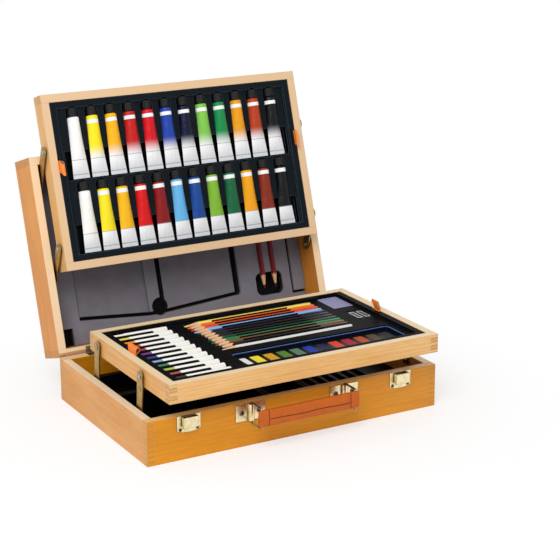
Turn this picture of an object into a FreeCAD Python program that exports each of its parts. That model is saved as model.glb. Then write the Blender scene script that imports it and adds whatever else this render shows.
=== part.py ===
import FreeCAD, Part
import math
import os

# Open wooden art supply box: a finger-jointed case with a folding tray on links in its base and in its lid.
# Millimetres. X runs to the right, Y to the hinges, Z up. The origin is the middle of the base's underside.
# Lid pieces are drawn in the lid's own frame: X, v from the hinge line along the rim, n out of the rim.
# Tray pieces are drawn in the tray's own frame: X, then y from its near edge, then z from its underside.

# Wooden case
case_wall = 10.0
case_fingers = 17
case_panel = 4.0
case_rebate = 5.0
lid_angle = 107.5
lid_chamfer = 5.5

# Wooden trays
tray_wall = 10.0
tray_fingers = 5
tray_panel = 3.0
tray_rebate = 5.0
tray_side_gap = 6.0
tray_end_play = 12.5
tray_height = 22.5

# Links, the same pivots on both trays
link_width = 13.0
link_thick = 1.6
link_gap = 2.2
pivot_rear_inset = 28.0
pivot_spacing = 119.0
tray_pivot_height = 12.5
pin_radius = 1.5
pin_embed = 6.0
pin_head_radius = 3.5
pin_head = 1.2
collar_radius = 4.0
running_gap = 0.05
face_gap = 0.1

# Swing of the lower tray: link length, forward lean when raised, turn to the stowed place
lower_link = 44.0
lower_lean = 4.0
lower_swing = 104.0
lower_pivot_drop = 5.0
lower_stow_gap = 2.85
lower_stow_rise = 1.36

# Swing of the upper tray: link length, angle from the lid's plane when raised, turn to the stowed place
upper_link = 50.0
upper_angle = 38.0
upper_swing = 142.0
upper_pivot_depth = 12.2
upper_stow_gap = 4.1
upper_pad_room = 11.3

# Formed liners
liner_skin = 1.2
liner_gap = 0.3
liner_flange = 8.0
liner_step = 3.5
flange_drop = 0.5
base_liner_rise = 22.5
lid_liner_rise = 11.0

# Paint tubes
tube_count = 12
tube_pitch = 25.0
tube_diameter = 14.5
tube_length = 74.0
tube_crimp_width = 21.5
tube_crimp_thick = 1.4
tube_crimp_length = 5.0
tube_shoulder = 2.0
tube_neck_radius = 3.6
cap_radius = 6.6
cap_tip_radius = 5.0
cap_length = 11.0
tube_row_gap = 4.0
tube_row_margin = 8.75
tube_side_margin = 16.5
trough_length = 35.0
slot_end = 2.0
slot_gap = 0.15
cap_gap = 1.5
trough_share = 0.7
tube_rise = 0.5
tube_taper = 0.85
tube_stations = 9
tube_oval = 0.995

# Oil pastels
pastel_count = 12
pastel_pitch = 15.1
pastel_radius = 5.5
pastel_length = 73.0
pastel_left_margin = 8.5
pastel_rear_margin = 8.75
pastel_front_margin = 20.65
pastel_rise = 0.3
pastel_ribs = 52.0

# Pencils
pencil_count = 12
pencil_pitch = 9.0
pencil_radius = 3.75
pencil_length = 177.0
pencil_point = 17.0
pencil_lead = 0.6
pencil_gap = 20.0
pencil_rear_margin = 16.75
pencil_cover = 0.7
rib_rise = 2.5
rib_field_edge = 2.5
pencil_trough = 36.0

# Watercolour pans in their box
pan_count = 12
pan_pitch = 17.6
pan_width = 12.5
pan_depth = 27.0
pan_thick = 4.0
pan_box_left = 1.2
pan_box_right = 3.6
pan_shift = -3.5
pan_box_depth = 46.0
pan_box_height = 12.0
pan_box_sink = 1.5
pan_box_wall = 1.6
pan_box_corner = 6.0
pan_deck_drop = 4.5
pan_box_gap = 15.25
pan_front_margin = 14.75

# Eraser and sharpener
eraser_width = 31.0
eraser_depth = 47.0
eraser_height = 11.0
eraser_edge = 2.0
eraser_sink = 1.0
eraser_gap = 16.0
eraser_rear_margin = 2.25
eraser_right_margin = 7.5
sharpener_width = 22.0
sharpener_depth = 35.0
sharpener_height = 11.0
sharpener_sink = 1.0
sharpener_gap = 17.0
sharpener_hole = 3.6
blade_width = 7.5
blade_length = 24.0
blade_thick = 0.8

# Leather pull tabs
tab_width = 20.0
tab_thick = 1.2
tab_tuck = 6.0
tab_loop = 3.0
tab_rise = 6.2
tab_lean = 20.0
tab_room = 0.3
lower_tab_shift = 11.0
upper_tab_shift = 21.0

# Butt hinges
hinge_width = 28.0
hinge_inset = 49.5
leaf_depth = 9.0
leaf_thick = 1.0
knuckle_radius = 2.6
hinge_pin_radius = 1.2
knuckle_gap = 0.3

# Wood screws with countersunk heads
screw_radius = 1.1
screw_head_radius = 2.2
screw_length = 8.0

# Latches
latch_width = 29.5
latch_height = 20.5
latch_plate = 1.2
latch_bow = 2.5
latch_inset = 51.5
latch_screw_inset = 4.0
lever_width = 18.5
lever_height = 12.5
lever_depth = 5.5
lever_wall = 1.0
lever_gap = 0.8
lever_top_drop = 1.0
lever_pin_rise = 2.0
lever_pin_back = 2.2
lever_pin_radius = 0.8
lever_side_gap = 0.2
spring_thick = 0.4
spring_width = 6.0
strike_width = 27.0
strike_height = 16.0
strike_drop = 1.0
hook_width = 9.0
hook_reach = 3.0
hook_thick = 1.0
hook_lip = 0.9

# Handle
handle_span = 125.0
handle_shift = -0.5
bracket_width = 38.0
bracket_height = 20.2
bracket_plate = 1.5
bracket_drop = 1.4
tunnel_radius = 3.6
tunnel_stand = 3.0
wire_radius = 1.25
wire_bend_gap = 0.25
ring_reach = 25.0
ring_clear = 0.05
grip_thick = 8.0
grip_end = 4.0
grip_edge = 3.0
grip_edge_share = 0.45
grip_gap = 0.15

# Lid liner: pad pockets, finger notch, pencil bed and cut corners
pocket_left_margin = 37.5
pocket_left_width = 96.0
pocket_strip = 18.5
pocket_right_width = 109.5
pocket_low = 26.5
pocket_bow = 8.0
pocket_high = 195.0
pocket_deep = 3.0
channel_width = 4.5
upright_width = 7.5
channel_deep = 8.0
notch_radius = 11.5
notch_shift = 5.0
lid_pencil_pitch = 17.0
lid_pencil_right = 53.0
lid_pencil_low = 32.0
lid_pencil_rise = 0.5
bed_width = 40.0
bed_length = 30.0
bed_low = 23.0
bed_corner = 8.0
corner_cut_width = 26.0
corner_cut_height = 22.0
corner_cut_deep = 6.0
side_strip_width = 20.5
side_strip_line = 3.0

# Base liner wells
base_well_margin = 8.0
base_well_ridge = 10.0
base_well_split = 0.36
brush_slots = 6
brush_pitch = 14.0
brush_slot = 9.0
brush_deep = 7.0
brush_margin = 30.0


def vec(x, y, z):
    return FreeCAD.Vector(x, y, z)


def box(x0, x1, y0, y1, z0, z1):
    return Part.makeBox(x1 - x0, y1 - y0, z1 - z0, vec(x0, y0, z0))


def round_box(x0, x1, y0, y1, z0, z1, corner):
    """Box whose upright edges are rounded."""
    block = box(x0, x1, y0, y1, z0, z1)
    uprights = [e for e in block.Edges if abs(e.tangentAt(e.FirstParameter).z) > 0.5]
    return block.makeFillet(corner, uprights)


def rod_x(radius, x0, x1, y, z):
    return Part.makeCylinder(radius, x1 - x0, vec(x0, y, z), vec(1, 0, 0))


def rod_y(radius, y0, y1, x, z):
    return Part.makeCylinder(radius, y1 - y0, vec(x, y0, z), vec(0, 1, 0))


def rod_z(radius, z0, z1, x, y):
    return Part.makeCylinder(radius, z1 - z0, vec(x, y, z0), vec(0, 0, 1))


def fuse(shapes):
    return shapes[0].multiFuse(shapes[1:]).removeSplitter()


def group(shapes):
    return Part.makeCompound(shapes)


def moved(shape, x=0.0, y=0.0, z=0.0):
    copy = shape.copy()
    copy.translate(vec(x, y, z))
    return copy


def both_sides(shape):
    return [shape, shape.mirror(vec(0, 0, 0), vec(1, 0, 0))]


def prism_x(points, x0, x1):
    """Solid from (y, z) points, run along X from x0 to x1."""
    corners = [vec(x0, y, z) for y, z in points]
    outline = Part.makePolygon(corners + corners[:1])
    return Part.Face(outline).extrude(vec(x1 - x0, 0, 0))


def hexagon_x(radius, x0, x1, y, z):
    turns = [math.radians(60 * side) for side in range(6)]
    return prism_x([(y + radius * math.cos(a), z + radius * math.sin(a)) for a in turns], x0, x1)


def save(name, shape, place=None):
    placed = shape.copy()
    if place is not None:
        placed.Placement = place.multiply(placed.Placement)
    placed.exportStep("parts/%s.step" % name)


# Tray size from what it carries
lower_layout_width = (pastel_left_margin + pastel_length + pencil_gap + pencil_length
                      + eraser_gap + eraser_width + eraser_right_margin)
upper_layout_width = 2 * tube_side_margin + tube_count * tube_pitch
tray_inner_width = max(lower_layout_width, upper_layout_width)
pastel_layout = pastel_rear_margin + (pastel_count - 1) * pastel_pitch + pastel_front_margin
pencil_rows = (pencil_count - 1) * pencil_pitch + pencil_radius
pencil_layout = pencil_rear_margin + pencil_rows + pan_box_gap + pan_box_depth + pan_front_margin
tube_full_length = tube_length + tube_shoulder + cap_length
tube_layout = 2 * tube_row_margin + 2 * tube_full_length + tube_row_gap
tray_inner_depth = max(pastel_layout, pencil_layout, tube_layout)
tray_width = tray_inner_width + 2 * tray_wall
tray_depth = tray_inner_depth + 2 * tray_wall
tray_half = tray_width / 2
inner_half = tray_inner_width / 2
rear_edge = tray_depth - tray_wall

# Case size from the trays, their links and the liners
case_width = tray_width + 2 * tray_side_gap + 2 * case_wall
case_depth = tray_depth + tray_end_play + 2 * case_wall
half_width = case_width / 2
half_depth = case_depth / 2
wall_inside = half_width - case_wall
base_liner_top = case_panel + base_liner_rise
lean = math.radians(lower_lean)
laid_back = math.radians(lower_swing - lower_lean)
base_pivot_z = (base_liner_top + lower_stow_rise + tray_pivot_height
                - lower_link * math.cos(laid_back))
base_height = base_pivot_z + lower_pivot_drop
base_pivot_y = (half_depth - case_wall - lower_stow_gap - pivot_rear_inset
                - lower_link * math.sin(laid_back))
lower_near = base_pivot_y - lower_link * math.sin(lean) + pivot_rear_inset - tray_depth
lower_under = base_pivot_z + lower_link * math.cos(lean) - tray_pivot_height
raised = math.radians(upper_angle)
stowed = math.radians(upper_angle + upper_swing)
lid_pivot_n = -upper_pivot_depth
lid_pivot_v = case_wall + upper_stow_gap + pivot_rear_inset - upper_link * math.cos(stowed)
upper_near = lid_pivot_v + upper_link * math.cos(raised) - pivot_rear_inset
upper_under = lid_pivot_n + upper_link * math.sin(raised) - tray_pivot_height
stowed_under = lid_pivot_n + upper_link * math.sin(stowed) - tray_pivot_height
lid_liner_top = stowed_under - upper_pad_room
lid_floor = lid_liner_top - lid_liner_rise
lid_height = -lid_floor + case_panel

# Where the lid and the trays stand
lid_turn = FreeCAD.Rotation(vec(1, 0, 0), 180 - lid_angle)
lid_place = FreeCAD.Placement(vec(0, half_depth, base_height), lid_turn)
lower_place = FreeCAD.Placement(vec(0, lower_near, lower_under), FreeCAD.Rotation())
upper_place = lid_place.multiply(FreeCAD.Placement(vec(0, upper_near, upper_under), FreeCAD.Rotation()))

os.makedirs("parts", exist_ok=True)


def finger_walls(width, depth, height, wall, fingers, panel_box):
    """Near, far, left and right walls with interlocking ends, rebated for the panel; z from 0 to height."""
    pitch = height / fingers
    corners = [(sx * (width - wall) / 2, sy * (depth - wall) / 2) for sx in (-1, 1) for sy in (-1, 1)]

    def blocks(parity):
        levels = range(parity, fingers, 2)
        half = wall / 2
        return [box(x - half, x + half, y - half, y + half, i * pitch, (i + 1) * pitch)
                for x, y in corners for i in levels]

    near = box(-width / 2, width / 2, -depth / 2, -depth / 2 + wall, 0, height)
    side = box(width / 2 - wall, width / 2, -depth / 2, depth / 2, 0, height)
    near = near.cut(blocks(1)).cut(panel_box)
    side = side.cut(blocks(0)).cut(panel_box)
    far = near.mirror(vec(0, 0, 0), vec(0, 1, 0))
    left = side.mirror(vec(0, 0, 0), vec(1, 0, 0))
    return near, far, left, side


def panel(width, depth, wall, rebate, thick):
    x = width / 2 - wall + rebate
    y = depth / 2 - wall + rebate
    return box(-x, x, -y, y, 0, thick)


def formed_liner(block, wells):
    """Sheet formed over wells: a block less the wells, hollowed from below to one skin thickness."""
    x0, x1, y0, y1, z0, z1 = block
    s = liner_skin
    core = box(x0 + s, x1 - s, y0 + s, y1 - s, z0, z1 - s).cut([well[1] for well in wells])
    return box(*block).cut([well[0] for well in wells]).cut(core)


def box_well(x0, x1, y0, y1, floor, top):
    """Well with its size, and the same grown by one skin."""
    return [box(x0 - g, x1 + g, y0 - g, y1 + g, floor - g, top + g) for g in (0, liner_skin)]


def plan_well(points, floor, top):
    """Well with straight sides over a polygon of (x, y) points."""
    corners = [vec(x, y, floor) for x, y in points]
    outline = Part.makePolygon(corners + corners[:1])
    grown = outline.makeOffset2D(liner_skin, 2)
    grown.translate(vec(0, 0, -liner_skin))
    rise = top - floor + 2 * liner_skin
    return [Part.Face(outline).extrude(vec(0, 0, rise)), Part.Face(grown).extrude(vec(0, 0, rise))]


def slot_well(x, y0, y1, width, floor, top):
    """Well along Y with a half-round far end."""
    sizes = []
    for g in (0, liner_skin):
        radius = width / 2 + g
        centre = y1 - width / 2
        straight = box(x - radius, x + radius, y0 - g, centre, floor - g, top + g)
        sizes.append(fuse([straight, rod_z(radius, floor - g, top + g, x, centre)]))
    return sizes


def round_groove(x0, x1, y, axis, radius, top):
    """Groove along X with a half-round bottom at the axis height."""
    sizes = []
    for g in (0, liner_skin):
        upper = box(x0 - g, x1 + g, y - radius - g, y + radius + g, axis, top + g)
        sizes.append(fuse([upper, rod_x(radius + g, x0 - g, x1 + g, y, axis)]))
    return sizes


def screw(x, y, z, direction):
    """Countersunk screw whose flat head lies at the point, its shank running along the direction."""
    head_depth = screw_head_radius - screw_radius
    head = Part.makeCone(screw_head_radius, screw_radius, head_depth, vec(x, y, z), direction)
    shank = Part.makeCylinder(screw_radius, screw_length, vec(x, y, z), direction)
    return fuse([head, shank])


def link(p, q):
    """Flat link between two (y, z) pivots, with a hole at each end, beside the right wall."""
    x0 = tray_half + link_gap
    x1 = x0 + link_thick
    span = math.hypot(q[0] - p[0], q[1] - p[1])
    across = (-(q[1] - p[1]) / span * link_width / 2, (q[0] - p[0]) / span * link_width / 2)
    sides = [(p[0] + across[0], p[1] + across[1]), (q[0] + across[0], q[1] + across[1]),
             (q[0] - across[0], q[1] - across[1]), (p[0] - across[0], p[1] - across[1])]
    plate = fuse([prism_x(sides, x0, x1)] + [rod_x(link_width / 2, x0, x1, *end) for end in (p, q)])
    return plate.cut([rod_x(pin_radius + running_gap, x0, x1, *end) for end in (p, q)])


def case_pin(y, z):
    """Pin in the case's right wall: shank, spacing collar and a domed head inside the link."""
    face = tray_half + link_gap
    collar = rod_x(collar_radius, face + link_thick + face_gap, wall_inside, y, z)
    start = vec(face - face_gap, y, z)
    head = Part.makeCone(pin_head_radius, pin_head_radius / 2, pin_head, start, vec(-1, 0, 0))
    shank = rod_x(pin_radius, face - face_gap, wall_inside + pin_embed, y, z)
    return fuse([shank, collar, head])


def tray_pin(y, z):
    """Pin in a tray's right wall: shank, spacing collar and a domed head outside the link."""
    face = tray_half + link_gap + link_thick + face_gap
    collar = rod_x(collar_radius, tray_half, tray_half + link_gap - face_gap, y, z)
    head = Part.makeCone(pin_head_radius, pin_head_radius / 2, pin_head, vec(face, y, z), vec(1, 0, 0))
    shank = rod_x(pin_radius, tray_half - pin_embed, face, y, z)
    return fuse([shank, collar, head])


# Link pivots: rear then front, (y, z) in each frame
base_pivots = [(base_pivot_y - i * pivot_spacing, base_pivot_z) for i in range(2)]
lower_pivots = [(tray_depth - pivot_rear_inset - i * pivot_spacing, tray_pivot_height) for i in range(2)]
lid_pivots = [(lid_pivot_v + i * pivot_spacing, lid_pivot_n) for i in range(2)]
upper_pivots = [(pivot_rear_inset + i * pivot_spacing, tray_pivot_height) for i in range(2)]
base_pins = [pin for y, z in base_pivots for pin in both_sides(case_pin(y, z))]
lid_pins = [pin for y, z in lid_pivots for pin in both_sides(case_pin(y, z))]
lower_pins = [pin for y, z in lower_pivots for pin in both_sides(tray_pin(y, z))]
upper_pins = [pin for y, z in upper_pivots for pin in both_sides(tray_pin(y, z))]
save("base_link_pins", group(base_pins))
save("lid_link_pins", group(lid_pins), lid_place)
save("lower_tray_link_pins", group(lower_pins), lower_place)
save("upper_tray_link_pins", group(upper_pins), upper_place)

# Links
for name, start, end in zip(("rear", "front"), base_pivots, lower_pivots):
    raised_end = (end[0] + lower_near, end[1] + lower_under)
    save("lower_%s_links" % name, group(both_sides(link(start, raised_end))))
for name, start, end in zip(("rear", "front"), lid_pivots, upper_pivots):
    raised_end = (end[0] + upper_near, end[1] + upper_under)
    save("upper_%s_links" % name, group(both_sides(link(start, raised_end))), lid_place)

# Butt hinges: leaves let into the rims, knuckles round the pin on the hinge line
hinge_x = half_width - hinge_inset
knuckle_length = hinge_width / 3


def hinge_leaf(own, hole):
    """Leaf on the far side of the axis (y < 0, top at z = 0) with knuckles on some thirds of its width."""
    start = hinge_x - hinge_width / 2
    clear = knuckle_radius + knuckle_gap
    pieces = [box(start, start + hinge_width, -leaf_depth, -clear, -leaf_thick, 0)]
    for third in own:
        x0 = start + third * knuckle_length + (knuckle_gap if third == 1 else 0)
        x1 = start + (third + 1) * knuckle_length - (knuckle_gap if third == 1 else 0)
        pieces.append(box(x0, x1, -clear, 0, -leaf_thick, 0))
        pieces.append(rod_x(knuckle_radius, x0, x1, 0, 0))
    return fuse(pieces).cut(rod_x(hole, start, start + hinge_width, 0, 0))


def leaf_screws():
    quarter = hinge_width / 4
    y = -(leaf_depth + knuckle_radius + knuckle_gap) / 2
    return [screw(hinge_x + s * quarter, y, 0, vec(0, 0, -1)) for s in (-1, 1)]


hinge_relief = both_sides(fuse([
    box(hinge_x - hinge_width / 2, hinge_x + hinge_width / 2, -leaf_depth, 0, -leaf_thick, 0),
    rod_x(knuckle_radius + knuckle_gap, hinge_x - hinge_width / 2, hinge_x + hinge_width / 2, 0, 0)]))
hinge_screws = [s for right in leaf_screws() for s in both_sides(right)]
on_base = (0, half_depth, base_height)
base_leaf = hinge_leaf((0, 2), hinge_pin_radius).cut(leaf_screws())
save("base_hinge_leaves", moved(group(both_sides(base_leaf)), *on_base))
hinge_pin = rod_x(hinge_pin_radius, hinge_x - hinge_width / 2, hinge_x + hinge_width / 2, 0, 0)
save("hinge_pins", moved(group(both_sides(hinge_pin)), *on_base))
lid_flip = FreeCAD.Placement(vec(0, 0, 0), FreeCAD.Rotation(vec(0, 0, 1), 180))
lid_leaf = hinge_leaf((1,), hinge_pin_radius + running_gap).cut(leaf_screws())
save("lid_hinge_leaves", group(both_sides(lid_leaf)), lid_place.multiply(lid_flip))

# Latch plates with pivot ears, pins, leaf springs and sprung levers on the base's front
front = -half_depth
latch_x = half_width - latch_inset
latch_top = base_height
latch_low = latch_top - latch_height
plate_face = front - latch_plate
lever_back = plate_face - lever_gap
lever_front = lever_back - lever_depth
lever_top = latch_top - lever_top_drop
lever_low = lever_top - lever_height
lever_half = lever_width / 2
pin_z = lever_low + lever_wall + lever_pin_rise
pin_y = lever_back - lever_pin_back
ear_radius = lever_pin_rise - lever_side_gap
ear_outer = lever_half - lever_wall - lever_side_gap


def latch_ear(x0, x1):
    arm = box(x0, x1, pin_y, plate_face, pin_z - lever_pin_radius, pin_z + ear_radius)
    return [arm, rod_x(ear_radius, x0, x1, pin_y, pin_z)]


latch_pin = rod_x(lever_pin_radius, latch_x - lever_half, latch_x + lever_half, pin_y, pin_z)
latch_screws = [screw(latch_x + s * (latch_width / 2 - latch_screw_inset), plate_face,
                      latch_low + latch_screw_inset, vec(0, 1, 0)) for s in (-1, 1)]
plate_x = (latch_x - latch_width / 2, latch_x + latch_width / 2)
plate_corners = [vec(plate_x[0], plate_face, latch_low + latch_bow), vec(plate_x[0], plate_face, latch_top),
                 vec(plate_x[1], plate_face, latch_top), vec(plate_x[1], plate_face, latch_low + latch_bow)]
plate_bow = Part.Arc(plate_corners[3], vec(latch_x, plate_face, latch_low), plate_corners[0])
plate_outline = Part.Wire([Part.makePolygon(plate_corners), plate_bow.toShape()])
plate = Part.Face(plate_outline).extrude(vec(0, latch_plate, 0))
ears = [piece for s in (-1, 1) for piece in latch_ear(
    *sorted((latch_x + s * (ear_outer - lever_wall), latch_x + s * ear_outer)))]
latch_body = fuse([plate] + ears).cut([latch_pin] + latch_screws)
save("latch_plates", group(both_sides(latch_body)))
save("latch_pins", group(both_sides(latch_pin)))
spring_foot = pin_z + ear_radius + lever_wall
spring_tip = lever_front + lever_wall + face_gap
spring_top = lever_top - 2 * lever_wall
latch_spring = prism_x([(plate_face, spring_foot), (plate_face, spring_foot + lever_wall),
                        (spring_tip, spring_top), (spring_tip, spring_top - spring_thick)],
                       latch_x - spring_width / 2, latch_x + spring_width / 2)
save("latch_springs", group(both_sides(latch_spring)))
lever_shell = box(latch_x - lever_half, latch_x + lever_half, lever_front, lever_back, lever_low, lever_top)
lever_hollow = box(latch_x - lever_half + lever_wall, latch_x + lever_half - lever_wall,
                   lever_front + lever_wall, lever_back, lever_low + lever_wall, lever_top)
lever_heel = box(latch_x - lever_half, latch_x + lever_half, pin_y, lever_back, lever_low, pin_z - ear_radius)
lever_holes = rod_x(lever_pin_radius + running_gap, latch_x - lever_half, latch_x + lever_half, pin_y, pin_z)
latch_lever = lever_shell.cut([lever_hollow, lever_heel, lever_holes])
save("latch_lever_right", latch_lever)
save("latch_lever_left", latch_lever.mirror(vec(0, 0, 0), vec(1, 0, 0)))

# Latch strikes on the lid's front: a screwed plate with a hook that reaches past the rim
strike_face = case_depth + latch_plate
hook_near = strike_face + lever_gap + face_gap
strike_low = -strike_drop - strike_height
strike_plate = box(latch_x - strike_width / 2, latch_x + strike_width / 2, case_depth, strike_face,
                   strike_low, -strike_drop)
hook_x = (latch_x - hook_width / 2, latch_x + hook_width / 2)
hook_arm = box(*hook_x, strike_face, hook_near + hook_thick, -strike_drop - 2 * hook_thick, -strike_drop)
hook_tongue = box(*hook_x, hook_near, hook_near + hook_thick, -strike_drop, hook_reach)
hook_barb = box(*hook_x, hook_near, hook_near + hook_thick + hook_lip, hook_reach - hook_thick, hook_reach)
strike_screws = [screw(latch_x + s * (strike_width / 2 - latch_screw_inset), strike_face,
                       strike_low + latch_screw_inset, vec(0, -1, 0)) for s in (-1, 1)]
strike = fuse([strike_plate, hook_arm, hook_tongue, hook_barb]).cut(strike_screws)
save("latch_strikes", group(both_sides(strike)), lid_place)

# Handle: two screwed brackets, two wire rings on upright axes and a leather grip
handle_x = handle_span / 2
bracket_top = base_height - bracket_drop
bracket_low = bracket_top - bracket_height
tunnel_y = front - tunnel_stand
bracket_screws = [screw(handle_x + s * (bracket_width / 2 + tunnel_radius) / 2, front - bracket_plate,
                        (bracket_top + bracket_low) / 2, vec(0, 1, 0)) for s in (-1, 1)]
bracket_wings = box(handle_x - bracket_width / 2, handle_x + bracket_width / 2,
                    front - bracket_plate, front, bracket_low, bracket_top)
bracket_barrel = rod_z(tunnel_radius, bracket_low, bracket_top, handle_x, tunnel_y).cut(
    box(handle_x - tunnel_radius, handle_x + tunnel_radius, front, half_depth, bracket_low, bracket_top))
tunnel = rod_z(wire_radius + face_gap, bracket_low, bracket_top, handle_x, tunnel_y)
bracket = fuse([bracket_wings, bracket_barrel]).cut([tunnel] + bracket_screws)
save("handle_brackets", moved(group(both_sides(bracket)), handle_shift))
wire_bend = wire_radius + wire_bend_gap
ring_low = bracket_low - ring_clear - wire_bend
ring_top = bracket_top + ring_clear + wire_bend
ring_front = tunnel_y - ring_reach


def wire_ring():
    """Rectangular wire loop with bent corners, in the plane across the case's front."""
    corners = [(tunnel_y, ring_low), (ring_front, ring_low), (ring_front, ring_top), (tunnel_y, ring_top)]
    middle_y = (tunnel_y + ring_front) / 2
    middle_z = (ring_low + ring_top) / 2
    legs = [
        rod_z(wire_radius, ring_low + wire_bend, ring_top - wire_bend, handle_x, tunnel_y),
        rod_z(wire_radius, ring_low + wire_bend, ring_top - wire_bend, handle_x, ring_front),
        rod_y(wire_radius, ring_front + wire_bend, tunnel_y - wire_bend, handle_x, ring_low),
        rod_y(wire_radius, ring_front + wire_bend, tunnel_y - wire_bend, handle_x, ring_top)]
    for y, z in corners:
        sy = 1 if y > middle_y else -1
        sz = 1 if z > middle_z else -1
        centre = vec(handle_x, y - sy * wire_bend, z - sz * wire_bend)
        section = Part.Face(Part.Wire(Part.makeCircle(wire_radius, vec(handle_x, y, centre.z), vec(0, 0, 1))))
        legs.append(section.revolve(centre, vec(sy * sz, 0, 0), 90))
    return fuse(legs)


ring = wire_ring()
save("handle_ring_right", moved(ring, handle_shift))
save("handle_ring_left", moved(ring.mirror(vec(0, 0, 0), vec(1, 0, 0)), handle_shift))
grip_low = ring_low + wire_bend + grip_gap
grip_top = ring_top - wire_bend - grip_gap
grip_half = handle_x + grip_end
grip_y = (ring_front - grip_thick / 2, ring_front + grip_thick / 2)
grip = box(-grip_half, grip_half, *grip_y, grip_low, grip_top)
long_edges = [e for e in grip.Edges if abs(e.tangentAt(e.FirstParameter).x) > 0.5]
grip = grip.makeFillet(min(grip_edge, grip_thick * grip_edge_share), long_edges)
leg_holes = [rod_z(wire_radius + face_gap, grip_low, grip_top, s * handle_x, ring_front) for s in (-1, 1)]
save("handle_grip", moved(grip.cut(leg_holes), handle_shift))

# Base: walls, bottom panel and liner
base_panel = panel(case_width, case_depth, case_wall, case_rebate, case_panel)
near, far, left, right = finger_walls(case_width, case_depth, base_height, case_wall, case_fingers,
                                      base_panel)
front_screws = [s for s_right in latch_screws for s in both_sides(s_right)]
front_screws += [moved(s, handle_shift) for s_right in bracket_screws for s in both_sides(s_right)]
rear_cuts = [moved(piece, *on_base) for piece in hinge_relief + hinge_screws]
save("base_front_wall", near.cut(front_screws))
save("base_rear_wall", far.cut(rear_cuts))
save("base_left_wall", left.cut(base_pins))
save("base_right_wall", right.cut(base_pins))
save("base_bottom_panel", base_panel)
save("base_screws", group(front_screws + [moved(s, *on_base) for s in hinge_screws]))
liner_x = wall_inside - liner_gap
liner_y = half_depth - case_wall - liner_gap
well_x = liner_x - base_well_margin
well_y = liner_y - base_well_margin
ridge = base_well_ridge / 2
split_y = base_well_split * well_y
well_floor = case_panel + liner_skin
brush_x1 = well_x - brush_margin
brush_x0 = brush_x1 - brush_slots * brush_pitch
brush_floor = base_liner_top - brush_deep
base_wells = [box_well(-well_x, -ridge, -well_y, split_y - ridge, well_floor, base_liner_top),
              box_well(-well_x, -ridge, split_y + ridge, well_y, well_floor, base_liner_top),
              box_well(ridge, well_x, split_y + ridge, well_y, well_floor, base_liner_top),
              box_well(ridge, brush_x0 - base_well_ridge, -well_y, split_y - ridge, well_floor,
                       base_liner_top)]
for slot in range(brush_slots):
    x0 = brush_x0 + slot * brush_pitch
    base_wells.append(box_well(x0, x0 + brush_slot, -well_y, split_y - ridge, brush_floor, base_liner_top))
base_block = (-liner_x, liner_x, -liner_y, liner_y, case_panel, base_liner_top)
save("base_liner", formed_liner(base_block, base_wells))

# Lid: walls, top panel and liner, in the lid's frame
lid_shift = (0, half_depth, -lid_height)
lid_panel = panel(case_width, case_depth, case_wall, case_rebate, case_panel)
walls = finger_walls(case_width, case_depth, lid_height, case_wall, case_fingers, lid_panel)
near, far, left, right = [moved(wall, *lid_shift) for wall in walls]
chamfer = prism_x([(0, 0), (lid_chamfer, 0), (0, -lid_chamfer)], -half_width, half_width)
lid_hinge_cuts = []
for piece in hinge_relief + hinge_screws:
    turned = piece.copy()
    turned.Placement = lid_flip.multiply(turned.Placement)
    lid_hinge_cuts.append(turned)
lid_hinge_screws = lid_hinge_cuts[len(hinge_relief):]
all_strike_screws = [s for s_right in strike_screws for s in both_sides(s_right)]
save("lid_rear_wall", near.cut([chamfer] + lid_hinge_cuts), lid_place)
save("lid_front_wall", far.cut(all_strike_screws), lid_place)
save("lid_left_wall", left.cut([chamfer] + lid_pins), lid_place)
save("lid_right_wall", right.cut([chamfer] + lid_pins), lid_place)
save("lid_top_panel", moved(lid_panel, *lid_shift), lid_place)
save("lid_screws", group(lid_hinge_screws + all_strike_screws), lid_place)

# Pencils: hexagonal wood with a cone and a lead, the point towards -X
pencil_flat = pencil_radius * math.cos(math.radians(30))


def pencil(x0, y, z):
    body = hexagon_x(pencil_radius, x0 + pencil_point, x0 + pencil_length, y, z)
    point = Part.makeCone(pencil_lead, pencil_flat, pencil_point, vec(x0, y, z), vec(1, 0, 0))
    return fuse([body, point])


# Lid liner: two pad pockets with channels along their edges, a finger notch and a bed for two pencils
pad_x0 = -wall_inside + pocket_left_margin
pad_x1 = pad_x0 + pocket_left_width
pad_x2 = pad_x1 + pocket_strip
pad_x3 = pad_x2 + channel_width + pocket_right_width
pad_low = case_wall + pocket_low
pad_edge = pad_low + pocket_bow
pad_high = case_wall + pocket_high
pad_floor = lid_liner_top - pocket_deep
channel_floor = lid_liner_top - channel_deep
cut_floor = lid_liner_top - corner_cut_deep
pencil_x = [wall_inside - lid_pencil_right + s * lid_pencil_pitch / 2 for s in (-1, 1)]
pencil_v = case_wall + lid_pencil_low
bed_axis = lid_liner_top + lid_pencil_rise
bed_x0 = wall_inside - lid_pencil_right - bed_width / 2
bed_v0 = case_wall + bed_low
low_edge = [(pad_x0, pad_edge), (pad_x1, pad_low), (pad_x2, pad_low), (pad_x3, pad_edge)]
low_strip = low_edge + [(x, v - channel_width) for x, v in reversed(low_edge)]
left_pocket = [(pad_x0, pad_edge), (pad_x1, pad_low), (pad_x1, pad_high), (pad_x0, pad_high)]
right_pocket = [(pad_x2, pad_low), (pad_x3, pad_edge), (pad_x3, pad_high), (pad_x2, pad_high)]
notch_at = (pad_x2 - notch_shift / 2, pad_low + notch_shift)
strip_x = wall_inside - side_strip_width
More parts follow.
